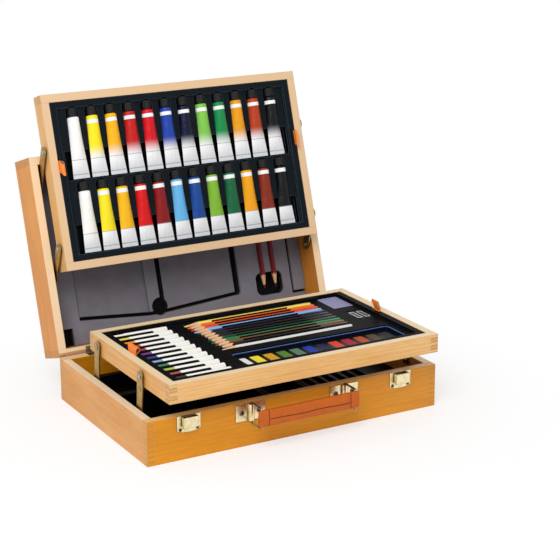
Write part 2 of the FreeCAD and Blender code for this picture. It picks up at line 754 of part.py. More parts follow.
lid_wells = [
    plan_well(left_pocket, pad_floor, lid_liner_top),
    plan_well(right_pocket, pad_floor, lid_liner_top),
    plan_well(low_strip, channel_floor, lid_liner_top),
    [rod_z(notch_radius + g, channel_floor - g, lid_liner_top + g, *notch_at) for g in (0, liner_skin)],
    [round_box(bed_x0 - g, bed_x0 + bed_width + g, bed_v0 - g, bed_v0 + bed_length + g, channel_floor - g,
               lid_liner_top + g, bed_corner + g) for g in (0, liner_skin)],
    box_well(-wall_inside, -wall_inside + corner_cut_width, case_wall, case_wall + corner_cut_height,
             cut_floor, lid_liner_top),
    box_well(strip_x, strip_x + side_strip_line, bed_v0, case_depth - case_wall, cut_floor, lid_liner_top),
    box_well(strip_x, wall_inside, bed_v0 - side_strip_line, bed_v0, cut_floor, lid_liner_top)]
for x, v in ((pad_x2 + channel_width / 2, pad_low), (pad_x3 - channel_width / 2, pad_edge)):
    lid_wells.append(box_well(x - upright_width / 2, x + upright_width / 2, v - channel_width / 2, pad_high,
                              channel_floor, lid_liner_top))
lid_pencils = []
along_lid = FreeCAD.Placement(vec(0, 0, 0), FreeCAD.Rotation(vec(0, 0, 1), 90))
for x in pencil_x:
    bed = []
    for g in (0, liner_skin):
        groove = hexagon_x(pencil_radius + g, pencil_v, pencil_v + pencil_length + g, -x, bed_axis)
        groove.Placement = along_lid.multiply(groove.Placement)
        bed.append(groove)
    lid_wells.append(bed)
    laid = pencil(pencil_v, -x, bed_axis)
    laid.Placement = along_lid.multiply(laid.Placement)
    lid_pencils.append(laid)
lid_edge = case_wall + liner_gap
lid_block = (-liner_x, liner_x, lid_edge, case_depth - lid_edge, lid_floor, lid_liner_top)
save("lid_liner", formed_liner(lid_block, lid_wells), lid_place)
save("lid_pencils", group(lid_pencils), lid_place)


def tray_frame(name, place, pins):
    """Walls and bottom panel of one tray, saved under its name."""
    bottom = panel(tray_width, tray_depth, tray_wall, tray_rebate, tray_panel)
    shift = (0, tray_depth / 2, 0)
    walls = finger_walls(tray_width, tray_depth, tray_height, tray_wall, tray_fingers, bottom)
    sides = ("front", "rear") if name == "lower" else ("rear", "front")
    for side, wall in zip(sides + ("left", "right"), walls):
        save("%s_tray_%s_wall" % (name, side), moved(wall, *shift).cut(pins), place)
    save("%s_tray_bottom" % name, moved(bottom, *shift), place)


def teardrop(bottom, radius, y0, y1):
    """Rod along Y at the loop's height, drawn down to a narrow bottom at the rim, at X = 0."""
    corners = [vec(-bottom, y0, 0), vec(bottom, y0, 0), vec(radius, y0, tab_rise), vec(-radius, y0, tab_rise)]
    neck = Part.Face(Part.makePolygon(corners + corners[:1])).extrude(vec(0, y1 - y0, 0))
    return fuse([neck, rod_y(radius, y0, y1, 0, tab_rise)])


def pull_tab(y):
    """Leather strip folded into a loop, both ends tucked inside a tray's right wall, leaning inwards."""
    y0 = y - tab_width / 2
    y1 = y + tab_width / 2
    loop = teardrop(tab_thick, tab_loop, y0, y1).cut(teardrop(tab_thick / 4, tab_loop - tab_thick, y0, y1))
    loop.rotate(vec(tab_thick, 0, 0), vec(0, 1, 0), -tab_lean)
    ends = box(-tab_thick, tab_thick, y0, y1, -tab_tuck, 0)
    return moved(fuse([loop, ends]), inner_half - tab_thick, 0, tray_height)


def tab_notches(y):
    """Room in a liner for the tucked ends of the two tabs."""
    y0 = y - tab_width / 2
    y1 = y + tab_width / 2
    x0 = inner_half - 2 * tab_thick - tab_room
    right = box(x0, inner_half, y0, y1, tray_height - tab_tuck, tray_height)
    return both_sides(right)


tray_frame("lower", lower_place, lower_pins)
tray_frame("upper", upper_place, upper_pins)
lower_tab_y = tray_depth / 2 + lower_tab_shift
upper_tab_y = tray_depth / 2 + upper_tab_shift
save("lower_tray_pull_tabs", group(both_sides(pull_tab(lower_tab_y))), lower_place)
save("upper_tray_pull_tabs", group(both_sides(pull_tab(upper_tab_y))), upper_place)
flange_top = tray_height - flange_drop
deck = flange_top - liner_step
tray_liner_x = inner_half - liner_gap
tray_liner_y = (tray_wall + liner_gap, rear_edge - liner_gap)
tray_block = (-tray_liner_x, tray_liner_x, *tray_liner_y, tray_panel, flange_top)
deck_x = tray_liner_x - liner_flange
deck_well = box_well(-deck_x, deck_x, tray_liner_y[0] + liner_flange, tray_liner_y[1] - liner_flange, deck,
                     flange_top)

# Lower tray: pastels in ribbed grooves at the left
pastel_x0 = -inner_half + pastel_left_margin
pastel_x1 = pastel_x0 + pastel_length
pastel_axis = deck + pastel_rise - pastel_radius
pastel_y = [rear_edge - pastel_rear_margin - i * pastel_pitch for i in range(pastel_count)]
pastels = [rod_x(pastel_radius, pastel_x0, pastel_x1, y, pastel_axis) for y in pastel_y]
lower_wells = []
lower_wells += [round_groove(pastel_x0, pastel_x0 + pastel_ribs, y, pastel_axis, pastel_radius, flange_top)
                for y in pastel_y]
lower_wells.append(box_well(pastel_x0 + pastel_ribs, pastel_x1 + liner_skin, pastel_y[-1] - pastel_radius,
                            pastel_y[0] + pastel_radius, pastel_axis - pastel_radius, flange_top))
save("oil_pastels", group(pastels), lower_place)

# Lower tray: coloured pencils in grooves between two troughs
pencil_x0 = pastel_x1 + pencil_gap
pencil_x1 = pencil_x0 + pencil_length
rib_top = deck + rib_rise
pencil_axis = rib_top - pencil_cover - pencil_flat
trough_floor = pencil_axis - pencil_flat
pencil_y = [rear_edge - pencil_rear_margin - i * pencil_pitch for i in range(pencil_count)]
pencils = [pencil(pencil_x0, y, pencil_axis) for y in pencil_y]


def pencil_groove(y):
    """Groove with a six-sided bottom and upright sides, its ribs higher than the pencil."""
    sizes = []
    for g in (0, liner_skin):
        half = pencil_radius + g
        upper = box(pencil_x0, pencil_x1 + g, y - half, y + half, pencil_axis, flange_top + g)
        sizes.append(fuse([hexagon_x(half, pencil_x0, pencil_x1 + g, y, pencil_axis), upper]))
    return sizes


for y in pencil_y:
    lower_wells.append(pencil_groove(y))
trough_y = (pencil_y[-1] - pencil_radius, pencil_y[0] + pencil_radius)
rib_x = (pencil_x0 + pencil_trough, pencil_x1 - pencil_trough)
rib_y = (pencil_y[-1], trough_y[1] + rib_field_edge)
lower_wells.append(box_well(pencil_x0 - liner_skin, rib_x[0], *trough_y, trough_floor, flange_top))
lower_wells.append(box_well(rib_x[1], pencil_x1 + liner_skin, *trough_y, trough_floor, flange_top))
rib_field = [box(rib_x[0] + g, rib_x[1] - g, rib_y[0], rib_y[1] - g, tray_panel, tray_height)
             for g in (0, liner_skin)]
lower_wells.append([well.cut(field) for well, field in zip(deck_well, rib_field)])
lower_wells.append(box_well(*rib_x, *rib_y, rib_top, flange_top))
save("coloured_pencils", group(pencils), lower_place)

# Lower tray: watercolour pans in a box with a sunk deck
pan_x0 = pencil_x0
pan_x1 = pan_x0 + pan_box_left + pan_count * pan_pitch + pan_box_right
pan_y1 = pencil_y[-1] - pencil_radius - pan_box_gap
pan_y0 = pan_y1 - pan_box_depth
pan_top = deck - pan_box_sink
pan_low = pan_top - pan_box_height
pan_deck = pan_top - pan_deck_drop
pan_outer = round_box(pan_x0, pan_x1, pan_y0, pan_y1, pan_low, pan_top, pan_box_corner)
pan_sunk = round_box(pan_x0 + pan_box_wall, pan_x1 - pan_box_wall, pan_y0 + pan_box_wall,
                     pan_y1 - pan_box_wall, pan_deck, pan_top, pan_box_corner - pan_box_wall)
pan_mid = (pan_y0 + pan_y1) / 2 - pan_shift
pans = []
for i in range(pan_count):
    x = pan_x0 + pan_box_left + (i + 0.5) * pan_pitch
    pans.append(box(x - pan_width / 2, x + pan_width / 2, pan_mid - pan_depth / 2, pan_mid + pan_depth / 2,
                    pan_deck - pan_thick, pan_deck))
lower_wells.append([round_box(pan_x0 - g, pan_x1 + g, pan_y0 - g, pan_y1 + g, pan_low - g, flange_top + g,
                              pan_box_corner + g) for g in (0, liner_skin)])
save("pan_box", pan_outer.cut([pan_sunk] + pans), lower_place)
save("paint_pans", group(pans), lower_place)

# Lower tray: eraser and double sharpener at the right
eraser_x1 = inner_half - eraser_right_margin
eraser_x0 = eraser_x1 - eraser_width
eraser_y1 = rear_edge - eraser_rear_margin
eraser_y0 = eraser_y1 - eraser_depth
eraser_top = deck - eraser_sink
eraser_z0 = eraser_top - eraser_height
eraser = box(eraser_x0, eraser_x1, eraser_y0, eraser_y1, eraser_z0, eraser_top)
eraser = eraser.makeFillet(eraser_edge, eraser.Edges)
lower_wells.append(box_well(eraser_x0, eraser_x1, eraser_y0, eraser_y1, eraser_z0, flange_top))
save("eraser", eraser, lower_place)
sharpener_x = (eraser_x0 + eraser_x1) / 2
sharpener_y1 = eraser_y0 - sharpener_gap
sharpener_y0 = sharpener_y1 - sharpener_depth
sharpener_top = deck - sharpener_sink
sharpener_z0 = sharpener_top - sharpener_height
sharpener_half = sharpener_width / 2
sharpener_sides = (sharpener_x - sharpener_half, sharpener_x + sharpener_half, sharpener_y0, sharpener_y1)
sharpener = box(*sharpener_sides, sharpener_z0, sharpener_top)
blade_x = [sharpener_x + s * sharpener_half / 2 for s in (-1, 1)]
hole_z = sharpener_z0 + sharpener_height / 2
holes = [rod_y(sharpener_hole, sharpener_y0, sharpener_y1, x, hole_z) for x in blade_x]
sharpener_mid = (sharpener_y0 + sharpener_y1) / 2
blades = [box(x - blade_width / 2, x + blade_width / 2, sharpener_mid - blade_length / 2,
              sharpener_mid + blade_length / 2, sharpener_top, sharpener_top + blade_thick) for x in blade_x]
lower_wells.append(box_well(*sharpener_sides, sharpener_z0, flange_top))
save("sharpener", sharpener.cut(holes), lower_place)
save("sharpener_blades", group(blades), lower_place)
save("lower_tray_liner", formed_liner(tray_block, lower_wells).cut(tab_notches(lower_tab_y)), lower_place)

# Upper tray: two rows of paint tubes, crimped ends over a wide trough, shoulders and caps in slots
def tube_oval_at(along):
    """Half width and half height of the tube at a distance from its folded end."""
    radius = tube_diameter / 2
    flat = tube_crimp_width / 2
    thin = tube_crimp_thick / 2
    share = (along - tube_crimp_length) / (tube_length - tube_crimp_length)
    width = flat + (radius - flat) * share ** tube_taper
    height = thin + (radius - thin) * math.sin(share * math.pi / 2) * tube_oval
    return width, height


def paint_tube():
    """Tube along Y on its axis: flat folded end at y = 0, widening round body, shoulder and neck."""
    outlines = [(0, tube_crimp_width / 2, tube_crimp_thick / 2)]
    for i in range(tube_stations):
        along = tube_crimp_length + (tube_length - tube_crimp_length) * i / (tube_stations - 1)
        outlines.append((along, *tube_oval_at(along)))
    outlines.append((tube_length + tube_shoulder, tube_neck_radius, tube_neck_radius * tube_oval))
    sections = []
    for along, width, height in outlines:
        centre = vec(0, along, 0)
        ellipse = Part.Ellipse(vec(width, along, 0), vec(0, along, height), centre)
        sections.append(Part.Wire(ellipse.toShape()))
    return Part.makeLoft(sections, True, True)


def tube_cap():
    start = tube_length + tube_shoulder
    return Part.makeCone(cap_radius, cap_tip_radius, cap_length, vec(0, start, 0), vec(0, 1, 0))


one_tube = paint_tube()
one_cap = tube_cap()
tube_x = [(i - (tube_count - 1) / 2) * tube_pitch for i in range(tube_count)]
row_y = [tray_wall + tube_row_margin, tray_wall + tube_row_margin + tube_full_length + tube_row_gap]
upper_wells = [deck_well]
tube_axis = deck + tube_rise
tube_low = tube_axis - tube_diameter / 2


def seat_half(along):
    """Half width of the tube where it meets the deck, with the gap beside it."""
    width, height = tube_oval_at(along)
    return width * math.sqrt(1 - (tube_rise / height) ** 2) + slot_gap


seat_wide = seat_half(trough_length)
seat_slim = seat_half(tube_length)
seat_end = tube_length + tube_shoulder
slot_half = cap_radius + cap_gap
trough_x = tube_x[-1] + tube_pitch * trough_share
for y in row_y:
    upper_wells.append(box_well(-trough_x, trough_x, y - liner_skin, y + trough_length, tube_low, flange_top))
    for x in tube_x:
        upper_wells.append(plan_well([(x - seat_wide, y + trough_length), (x + seat_wide, y + trough_length),
                                      (x + seat_slim, y + seat_end), (x - seat_slim, y + seat_end)],
                                     tube_low, flange_top))
        upper_wells.append(slot_well(x, y + seat_end - slot_half, y + tube_full_length + slot_end,
                                     2 * slot_half, tube_low, flange_top))
caps = [moved(one_cap, x, y, tube_axis) for y in row_y for x in tube_x]
save("acrylic_tubes", group([moved(one_tube, x, row_y[0], tube_axis) for x in tube_x]), upper_place)
save("watercolour_tubes", group([moved(one_tube, x, row_y[1], tube_axis) for x in tube_x]), upper_place)
save("tube_caps", group(caps), upper_place)
save("upper_tray_liner", formed_liner(tray_block, upper_wells).cut(tab_notches(upper_tab_y)), upper_place)
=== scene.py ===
import bpy
import bmesh
import math
import numpy as np
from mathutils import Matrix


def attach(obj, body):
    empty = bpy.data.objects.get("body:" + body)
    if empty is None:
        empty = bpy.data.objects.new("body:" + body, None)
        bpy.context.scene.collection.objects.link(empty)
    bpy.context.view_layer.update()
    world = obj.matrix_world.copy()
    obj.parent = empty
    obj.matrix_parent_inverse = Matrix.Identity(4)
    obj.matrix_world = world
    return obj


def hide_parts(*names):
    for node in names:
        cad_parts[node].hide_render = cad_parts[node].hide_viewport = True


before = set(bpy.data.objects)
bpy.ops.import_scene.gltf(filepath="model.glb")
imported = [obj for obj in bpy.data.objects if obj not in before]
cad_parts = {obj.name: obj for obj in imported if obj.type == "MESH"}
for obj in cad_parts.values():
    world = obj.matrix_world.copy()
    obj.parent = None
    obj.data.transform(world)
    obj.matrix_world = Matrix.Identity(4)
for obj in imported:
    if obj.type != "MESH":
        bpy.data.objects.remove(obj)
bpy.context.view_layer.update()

# Base of the case: four solid beech walls, finger-jointed at the corners and glued.
# The outside has a warm honey varnish over faint growth rings; the sawn rims are left pale,
# and the finger ends show darker end grain with fine glue lines.


def linear(code):
    """sRGB hex colour as linear red, green and blue with full alpha."""
    parts = np.array([int(code[i:i + 2], 16) / 255 for i in (1, 3, 5)])
    curve = np.where(parts <= 0.04045, parts / 12.92, ((parts + 0.055) / 1.055) ** 2.4)
    return (*curve.tolist(), 1.0)


def add(tree, kind, inputs=(), out=0, **settings):
    """Adds one shader node with its settings and gives one of its outputs, or all of them where out is None.
    Inputs come in the node's own order, or by name or number, each a value, a hex colour or another output.
    A MapRange takes a value, the range that it comes from and the range that it goes to."""
    made = tree.nodes.new("ShaderNode" + kind)
    for key, value in settings.items():
        setattr(made, key, value)
    for key, value in inputs.items() if isinstance(inputs, dict) else enumerate(inputs):
        if isinstance(value, bpy.types.NodeSocket):
            tree.links.new(value, made.inputs[key])
        else:
            made.inputs[key].default_value = linear(value) if isinstance(value, str) else value
    return made.outputs if out is None else made.outputs[out]


# what makes a Mix node blend two colours, in its inputs 6 and 7, by the share in its input 0
tint = {"data_type": "RGBA", "out": 2}


def started(name, **sockets):
    """A new material and its node tree; plain sockets of its shader, spelt with underscores, are set."""
    material = bpy.data.materials.new(name)
    material.use_nodes = True
    tree = material.node_tree
    for key, value in sockets.items():
        tree.nodes["Principled BSDF"].inputs[key.replace("_", " ")].default_value = value
    return material, tree


def wired(material, **outputs):
    """Links node outputs to sockets of a material's shader, spelt with underscores; gives the material."""
    tree = material.node_tree
    for key, output in outputs.items():
        tree.links.new(output, tree.nodes["Principled BSDF"].inputs[key.replace("_", " ")])
    return material


def coat(material, *names):
    """Puts a material on every slot of the named frame nodes."""
    for name in names:
        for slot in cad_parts[name].material_slots:
            slot.material = material


def in_group(tree, group):
    """Object coordinates in a group's own frame: measured from its corner and turned back by its tilt."""
    place = add(tree, "TexCoord", out="Object")
    return add(tree, "Mapping", {"Vector": place, "Location": group["origin"],
               "Rotation": (group["tilt"], 0, 0)}, vector_type="TEXTURE")


def eased_edges(tree, radius):
    """A normal rounded over every edge, and its cosine with the plain normal, which is below 1 only there."""
    eased = add(tree, "Bevel", {"Radius": radius}, samples=4)
    plain = add(tree, "TexCoord", out="Normal")
    return eased, add(tree, "VectorMath", [eased, plain], out=1, operation="DOT_PRODUCT")


def timber(name, group, along, tones, ring, line, varnish, shift, thin=0.0):
    """Planed wood. Growth rings are cylinders round a pith line that runs along the grain, wavering with
    noise; fibres are noise drawn out along the grain. End grain, rims and finger ends take other tones, and
    the varnish may thin towards the right end."""
    plain, figure, dark, rim, end = tones
    material, tree = started(name, Roughness=0.45, IOR=1.5, Specular_IOR_Level=0.25, Coat_Weight=varnish,
                             Coat_Roughness=0.18)
    c, s = math.cos(group["tilt"]), math.sin(group["tilt"])
    if along == "x":
        fine, broad, turn, axis = (0.05, 1, 1), (0.3, 1, 1), 0, (1, 0, 0)
        way, reach, middle = 0, group["half"][0], 0
    else:
        fine, broad, turn, axis = (1, 0.05, 1), (1, 0.3, 1), -math.pi / 2, (0, c, s)
        way, reach, middle = 1, group["half"][1], group["middle"]
    normal = add(tree, "TexCoord", out="Normal")
    local = in_group(tree, group)
    split = add(tree, "SeparateXYZ", [local], out=None)
    # growth rings every few millimetres: the wave's period is 0.314 over its scale
    grain = add(tree, "Mapping", {"Vector": local, "Scale": fine, "Rotation": (0, 0, turn),
                "Location": shift})
    rings = add(tree, "TexWave", {"Vector": grain, "Scale": 0.314 / ring, "Distortion": 11.0, "Detail": 2.0,
                "Detail Scale": 0.9}, out=1, wave_type="RINGS", rings_direction="X")
    late = add(tree, "MapRange", [rings, 0.55, 1, 0, line], interpolation_type="SMOOTHSTEP")
    # fibres about 1 mm wide and 20 mm long, clouds of colour about 30 mm wide and 100 mm long
    fibre = add(tree, "TexNoise", {"Vector": grain, "Scale": 1000.0, "Detail": 3.0})
    drawn = add(tree, "Mapping", {"Vector": local, "Scale": broad, "Location": shift})
    cloud = add(tree, "TexNoise", {"Vector": drawn, "Scale": 30.0, "Detail": 3.0})
    cloudy = add(tree, "MapRange", [cloud, 0.35, 0.65])
    clouded = add(tree, "Mix", {0: cloudy, 6: plain, 7: figure}, **tint)
    thinned = add(tree, "MapRange", [split[0], 0.05, 0.19, 0, thin])
    ground = add(tree, "Mix", {0: thinned, 6: clouded, 7: rim}, **tint)
    lined = add(tree, "Mix", {0: late, 6: ground, 7: dark}, **tint)
    shade = add(tree, "MapRange", [fibre, 0.3, 0.7, 0.9, 1.08])
    fibred = add(tree, "VectorMath", [lined, shade], operation="MULTIPLY")
    # rims face out of the opening, finger ends face along the grain
    facing = add(tree, "VectorMath", [normal, (0, -s, c)], out=1, operation="DOT_PRODUCT")
    on_rim = add(tree, "MapRange", [facing, 0.5, 0.8])
    rimmed = add(tree, "Mix", {0: on_rim, 6: fibred, 7: rim}, **tint)
    ending = add(tree, "VectorMath", [normal, axis], out=1, operation="DOT_PRODUCT")
    cut = add(tree, "Math", [ending], operation="ABSOLUTE")
    on_end = add(tree, "MapRange", [cut, 0.6, 0.8])
    ended = add(tree, "Mix", {0: on_end, 6: rimmed, 7: end}, **tint)
    # dark lines between the fingers, only in the corner blocks: glue lines, and where drawn strong, as on the
    # trays, also painted shadow at the finger ends
    block, soft = 0.010, 0.0002
    off = add(tree, "Math", [split[way], middle], operation="SUBTRACT")
    away = add(tree, "Math", [off], operation="ABSOLUTE")
    corner = add(tree, "MapRange", [away, reach - block - soft, reach - block + soft])
    level = add(tree, "Math", [split[2], group["finger"] / 2], operation="PINGPONG")
    glue_and_shade = add(tree, "MapRange", [level, 0.0005, 0.0002, 0, group["glue_and_shade"]])
    upright = add(tree, "MapRange", [facing, 0.5, 0.3])
    patchy = add(tree, "MapRange", [fibre, 0.35, 0.5])
    for share in (corner, upright, patchy):
        glue_and_shade = add(tree, "Math", [glue_and_shade, share], operation="MULTIPLY")
    seamed = add(tree, "Mix", {0: glue_and_shade, 6: ended, 7: "#3A2210"}, **tint)
    # eased edges, rubbed a little paler: partly worn varnish, partly a painted highlight where the rounded
    # edges catch the light
    eased, bend = eased_edges(tree, 0.0009)
    worn = add(tree, "MapRange", [bend, 0.97, 0.8, 0, 0.45])
    rubbed = add(tree, "Mix", {0: worn, 6: seamed, 7: rim}, **tint)
    bump = add(tree, "Bump", {"Strength": 0.12, "Distance": 0.0003, "Height": fibre, "Normal": eased})
    return wired(material, Base_Color=rubbed, Normal=bump)


base = {"tilt": 0.0, "origin": (0, 0, 0), "half": (0.1925, 0.124), "middle": 0.0, "finger": 0.053 / 17,
        "glue_and_shade": 0.15}
front_tones = ("#D88E14", "#CC820A", "#AE640A", "#E6C088", "#C98E48")
# the side walls are the same beech as the front; their tones are painted paler and less saturated, a painted
# sheen and light for the side that faces the lamp
side_tones = ("#DDA262", "#D29040", "#BA7A30", "#F1D7B6", "#CA8416")
base_ply = ("#D9A45C", "#CF9850", "#B9813C", "#D9A45C", "#B9813C")
beech_ring = 0.0065
coat(timber("honey_varnished_beech_front", base, "x", front_tones, ring=beech_ring, line=0.15, varnish=0.12,
            shift=(0, 0.03, 0.16), thin=0.08), "base_front_wall", "base_rear_wall")
coat(timber("honey_beech_side_painted_paler", base, "y", side_tones, ring=beech_ring, line=0.16, varnish=0.15,
            shift=(0, 0.05, 0.14)), "base_left_wall", "base_right_wall")
coat(timber("base_plywood", base, "x", base_ply, ring=0.012, line=0.3, varnish=0.1, shift=(0, 0.02, 0.3)),
     "base_bottom_panel")

# Liner of the base: one sheet of black polystyrene, vacuum-formed into wells and brush grooves.
# It drops into the case. The sheet is thin and glossy, with a faint orange-peel from the mould.


def formed_sheet(name, group, top, deep, edge, level, gloss, shine=0.05):
    """Formed plastic: one tone on the upper surface, a darker one where the sheet dips below a level, which
    is painted shade in its recesses, and paler bent edges, which are painted highlights; the mould leaves a
    fine peel."""
    material, tree = started(name, Roughness=gloss, IOR=1.5, Specular_IOR_Level=shine)
    local = in_group(tree, group)
    height = add(tree, "SeparateXYZ", [local], out=2)
    # the sheet has one colour: the darker tone below the level is painted shade
    above = add(tree, "MapRange", [height, level - 0.0015, level - 0.0003], interpolation_type="SMOOTHSTEP")
    recess_shaded = add(tree, "Mix", {0: above, 6: deep, 7: top}, **tint)
    # scuffs and dust about 20 mm across lift the tone a little
    scuff = add(tree, "TexNoise", {"Vector": local, "Scale": 50.0, "Detail": 4.0})
    lift = add(tree, "MapRange", [scuff, 0.35, 0.7, 0.93, 1.08])
    mottled = add(tree, "VectorMath", [recess_shaded, lift], operation="MULTIPLY")
    # bent edges painted paler: a painted highlight where they catch the light
    eased, bend = eased_edges(tree, 0.0012)
    bent = add(tree, "MapRange", [bend, 0.99, 0.85, 0, 0.8])
    edge_highlighted = add(tree, "Mix", {0: bent, 6: mottled, 7: edge}, **tint)
    # mould peel about 0.8 mm across
    peel = add(tree, "TexNoise", {"Vector": local, "Scale": 1200.0, "Detail": 2.0})
    bump = add(tree, "Bump", {"Strength": 0.1, "Distance": 0.0002, "Height": peel, "Normal": eased})
    return wired(material, Base_Color=edge_highlighted, Normal=bump)


# the darker tone is painted shade in the wells and grooves, the grey a painted highlight on the bent edges
coat(formed_sheet("black_formed_polystyrene", base, "#0D0D0F", "#080809", "#33343B", level=0.0265,
                  gloss=0.36), "base_liner")

# Butt hinges: two pairs of leaves let into the rear rims, knuckles closed round a steel pin.
# They are pressed from bronzed steel sheet, with painted shade in the corners, and rubbed bright on the
# knuckles.


def plated(name, bright, dull, rough, scratch, edge=None, ease=0.0004):
    """Plated or bare sheet metal: tarnish clouds, fine scratches drawn out along X, edges rubbed bright, and
    painted shade in the corners. A given edge tone is painted on the edges, which then lose their metal:
    white is a painted highlight, dark a painted outline for shade."""
    material, tree = started(name, Metallic=1.0)
    place = add(tree, "TexCoord", out="Object")
    # tarnish about 6 mm across
    cloud = add(tree, "TexNoise", {"Vector": place, "Scale": 160.0, "Detail": 4.0})
    tarnish = add(tree, "MapRange", [cloud, 0.4, 0.75])
    aged = add(tree, "Mix", {0: tarnish, 6: bright, 7: dull}, **tint)
    # edges take the bright tone; a given edge tone is painted on them instead: a painted highlight when
    # white, a painted outline for shade when dark
    eased, bend = eased_edges(tree, ease)
    rubbed = add(tree, "MapRange", [bend, 1.0, 0.9])
    rimmed = add(tree, "Mix", {0: rubbed, 6: aged, 7: edge or bright}, **tint)
    # painted shade in the corners: within 4 mm of another surface the metal is darkened where shade falls
    hollow = add(tree, "AmbientOcclusion", {"Distance": 0.004}, out=1, samples=4)
    painted_corner_shade = add(tree, "MapRange", [hollow, 0.85, 0.35, 0, 0.9])
    corner_shaded = add(tree, "Mix", {0: painted_corner_shade, 6: rimmed, 7: "#1E160C"}, **tint)
    # scratches a third of a millimetre wide and 4 mm long, drawn coarser than real ones so that they show
    drawn = add(tree, "Mapping", {"Vector": place, "Scale": (250, 3000, 3000)})
    lines = add(tree, "TexNoise", {"Vector": drawn, "Scale": 1.0, "Detail": 2.0})
    grit = add(tree, "MapRange", [lines, 0.3, 0.7, rough - 0.06, rough + 0.08])
    bump = add(tree, "Bump", {"Strength": scratch, "Distance": 0.0001, "Height": lines, "Normal": eased})
    # edges with a painted tone lose their metal, so the painted tone shows under any light
    if edge:
        wired(material, Metallic=add(tree, "Math", [1.0, rubbed], operation="SUBTRACT"))
    return wired(material, Base_Color=corner_shaded, Roughness=grit, Normal=bump)


bronzed_steel = plated("bronzed_steel_sheet", "#A58E66", "#4E4234", rough=0.38, scratch=0.15)
coat(bronzed_steel, "base_hinge_leaves", "hinge_pins", "lid_hinge_leaves")

# Pins of the links: turned steel rivets with a spacing collar and a hollow, rolled-over head.
# They are driven into the wooden walls, and each link turns on its shank.


def grid(*parts):
    """Arrays that broadcast against each other, stacked into one grid of points or map values."""
    return np.stack(np.broadcast_arrays(*parts), -1)


def laid(points, group):
    """Points in a group's own frame, in mm, turned about X by its tilt and moved to its corner, in metres."""
    x, y, z = np.moveaxis(np.asarray(points, float) / 1000, -1, 0)
    c, s = math.cos(group["tilt"]), math.sin(group["tilt"])
    return np.stack([x, group["origin"][1] + c * y - s * z, group["origin"][2] + s * y + c * z], -1)


def skin(name, points, group, uv=None, paint=None):
    """One mesh from grids of points in a group's frame (piece, row, column): neighbours are joined by quads,
    meeting points are merged, so a row drawn together closes a pole, and sharp bends keep a crease. The
    plain map runs from 0 to 1 across the columns and along the rows."""
    points = laid(points, group)
    points = points.reshape(-1, *points.shape[-3:])
    count, rows, columns = points.shape[:3]
    index = np.arange(count * rows * columns).reshape(count, rows, columns)
    corners = [index[:, :-1, :-1], index[:, :-1, 1:], index[:, 1:, 1:], index[:, 1:, :-1]]
    quads = np.stack(corners, -1).reshape(-1, 4)
    mesh = bpy.data.meshes.new(name)
    mesh.from_pydata(points.reshape(-1, 3).tolist(), [], quads.tolist())
    if uv is None:
        uv = grid(np.linspace(0, 1, columns), np.linspace(0, 1, rows)[:, None])
    spread = np.broadcast_to(uv, points.shape[:3] + (2,)).reshape(-1, 2)[quads.ravel()]
    mesh.uv_layers.new(name="UVMap").data.foreach_set("uv", spread.ravel())
    if paint is not None:
        colours = np.broadcast_to(paint, points.shape[:3] + (4,)).reshape(-1, 4)[quads.ravel()]
        mesh.color_attributes.new("paint", "FLOAT_COLOR", "CORNER").data.foreach_set("color", colours.ravel())
    work = bmesh.new()
    work.from_mesh(mesh)
    bmesh.ops.remove_doubles(work, verts=work.verts, dist=1e-7)
    bmesh.ops.recalc_face_normals(work, faces=work.faces)
    work.to_mesh(mesh)
    work.free()
    mesh.shade_smooth()
    mesh.set_sharp_from_angle(angle=math.radians(40))
    piece = bpy.data.objects.new(name, mesh)
    bpy.context.scene.collection.objects.link(piece)
    return piece


def dressed(piece, material, body, *nodes, slot):
    """Finishes a new piece: its material, the body it rides on and any nodes that it stands for; the slot is
    not used.
    """
    piece.data.materials.append(material)
    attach(piece, body)
    if nodes:
        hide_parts(*nodes)


def turned(profile, sides):
    """Profile of (along, radius) rows carried round a full circle: along, radius cos, radius sin."""
    along, radius = np.asarray(profile, float).T[:, :, None]
    angle = np.linspace(0, 2 * math.pi, sides + 1)
    return grid(along, radius * np.cos(angle), radius * np.sin(angle))


# distance from the case's middle, radius: shank end, collar, shank, rolled head with a hollow
case_rivet = [(188.5, 0), (188.5, 1.5), (182.5, 1.5), (182.5, 4), (180.4, 4), (180.4, 1.5), (178.6, 1.5),
              (178.6, 3.3), (178.4, 3.5), (178.0, 3.35), (177.6, 2.7), (177.4, 2.1), (177.45, 1.5),
              (177.9, 1.2), (178.0, 0)]
link_plane, link_step = 179.5, 119
tray_rivet = [(2 * link_plane - along, radius) for along, radius in case_rivet]
rolled_steel = plated("rolled_rivet_steel", "#B9B4AB", "#7D776D", rough=0.32, scratch=0.1)


def rivets(name, profile, group, body, y, z, step):
    """The turned profile at (y, z) and one step along Y, on the right and mirrored to the left."""
    one = turned(profile, 28)
    both = [(one + (0, place, z)) * (side, 1, 1) for place in (y, y + step) for side in (1, -1)]
    dressed(skin(name, both, group), rolled_steel, body, name.replace("_rivets", "_pins"), slot="rivet_steel")


rivets("base_link_rivets", case_rivet, base, "base", y=39.82, z=48, step=-link_step)

# Latches on the base's front: a brass-plated plate with a bowed lower edge and two ears, a pin and a spring.
# The plate is screwed to the wall; the sprung lever is folded from the same sheet and turns on the pin.
# the dark brown edge tone is a painted outline, standing for the shade along the edges of the brass pieces
brass_plate = plated("brass_plated_sheet", "#F6E8C0", "#E2CB92", rough=0.24, scratch=0.02, edge="#6E5A34",
                     ease=0.0007)
spring_steel = plated("blued_spring_steel", "#8C8880", "#4A4744", rough=0.35, scratch=0.1)
coat(brass_plate, "latch_plates", "latch_lever_left", "latch_lever_right", "latch_strikes")
coat(spring_steel, "latch_pins", "latch_springs")

# Screws of the base: brassed steel wood screws with cross recesses, driven through the metal into the walls.
# They are small and flat in the latch plates and hinges, larger and domed in the handle's brackets.


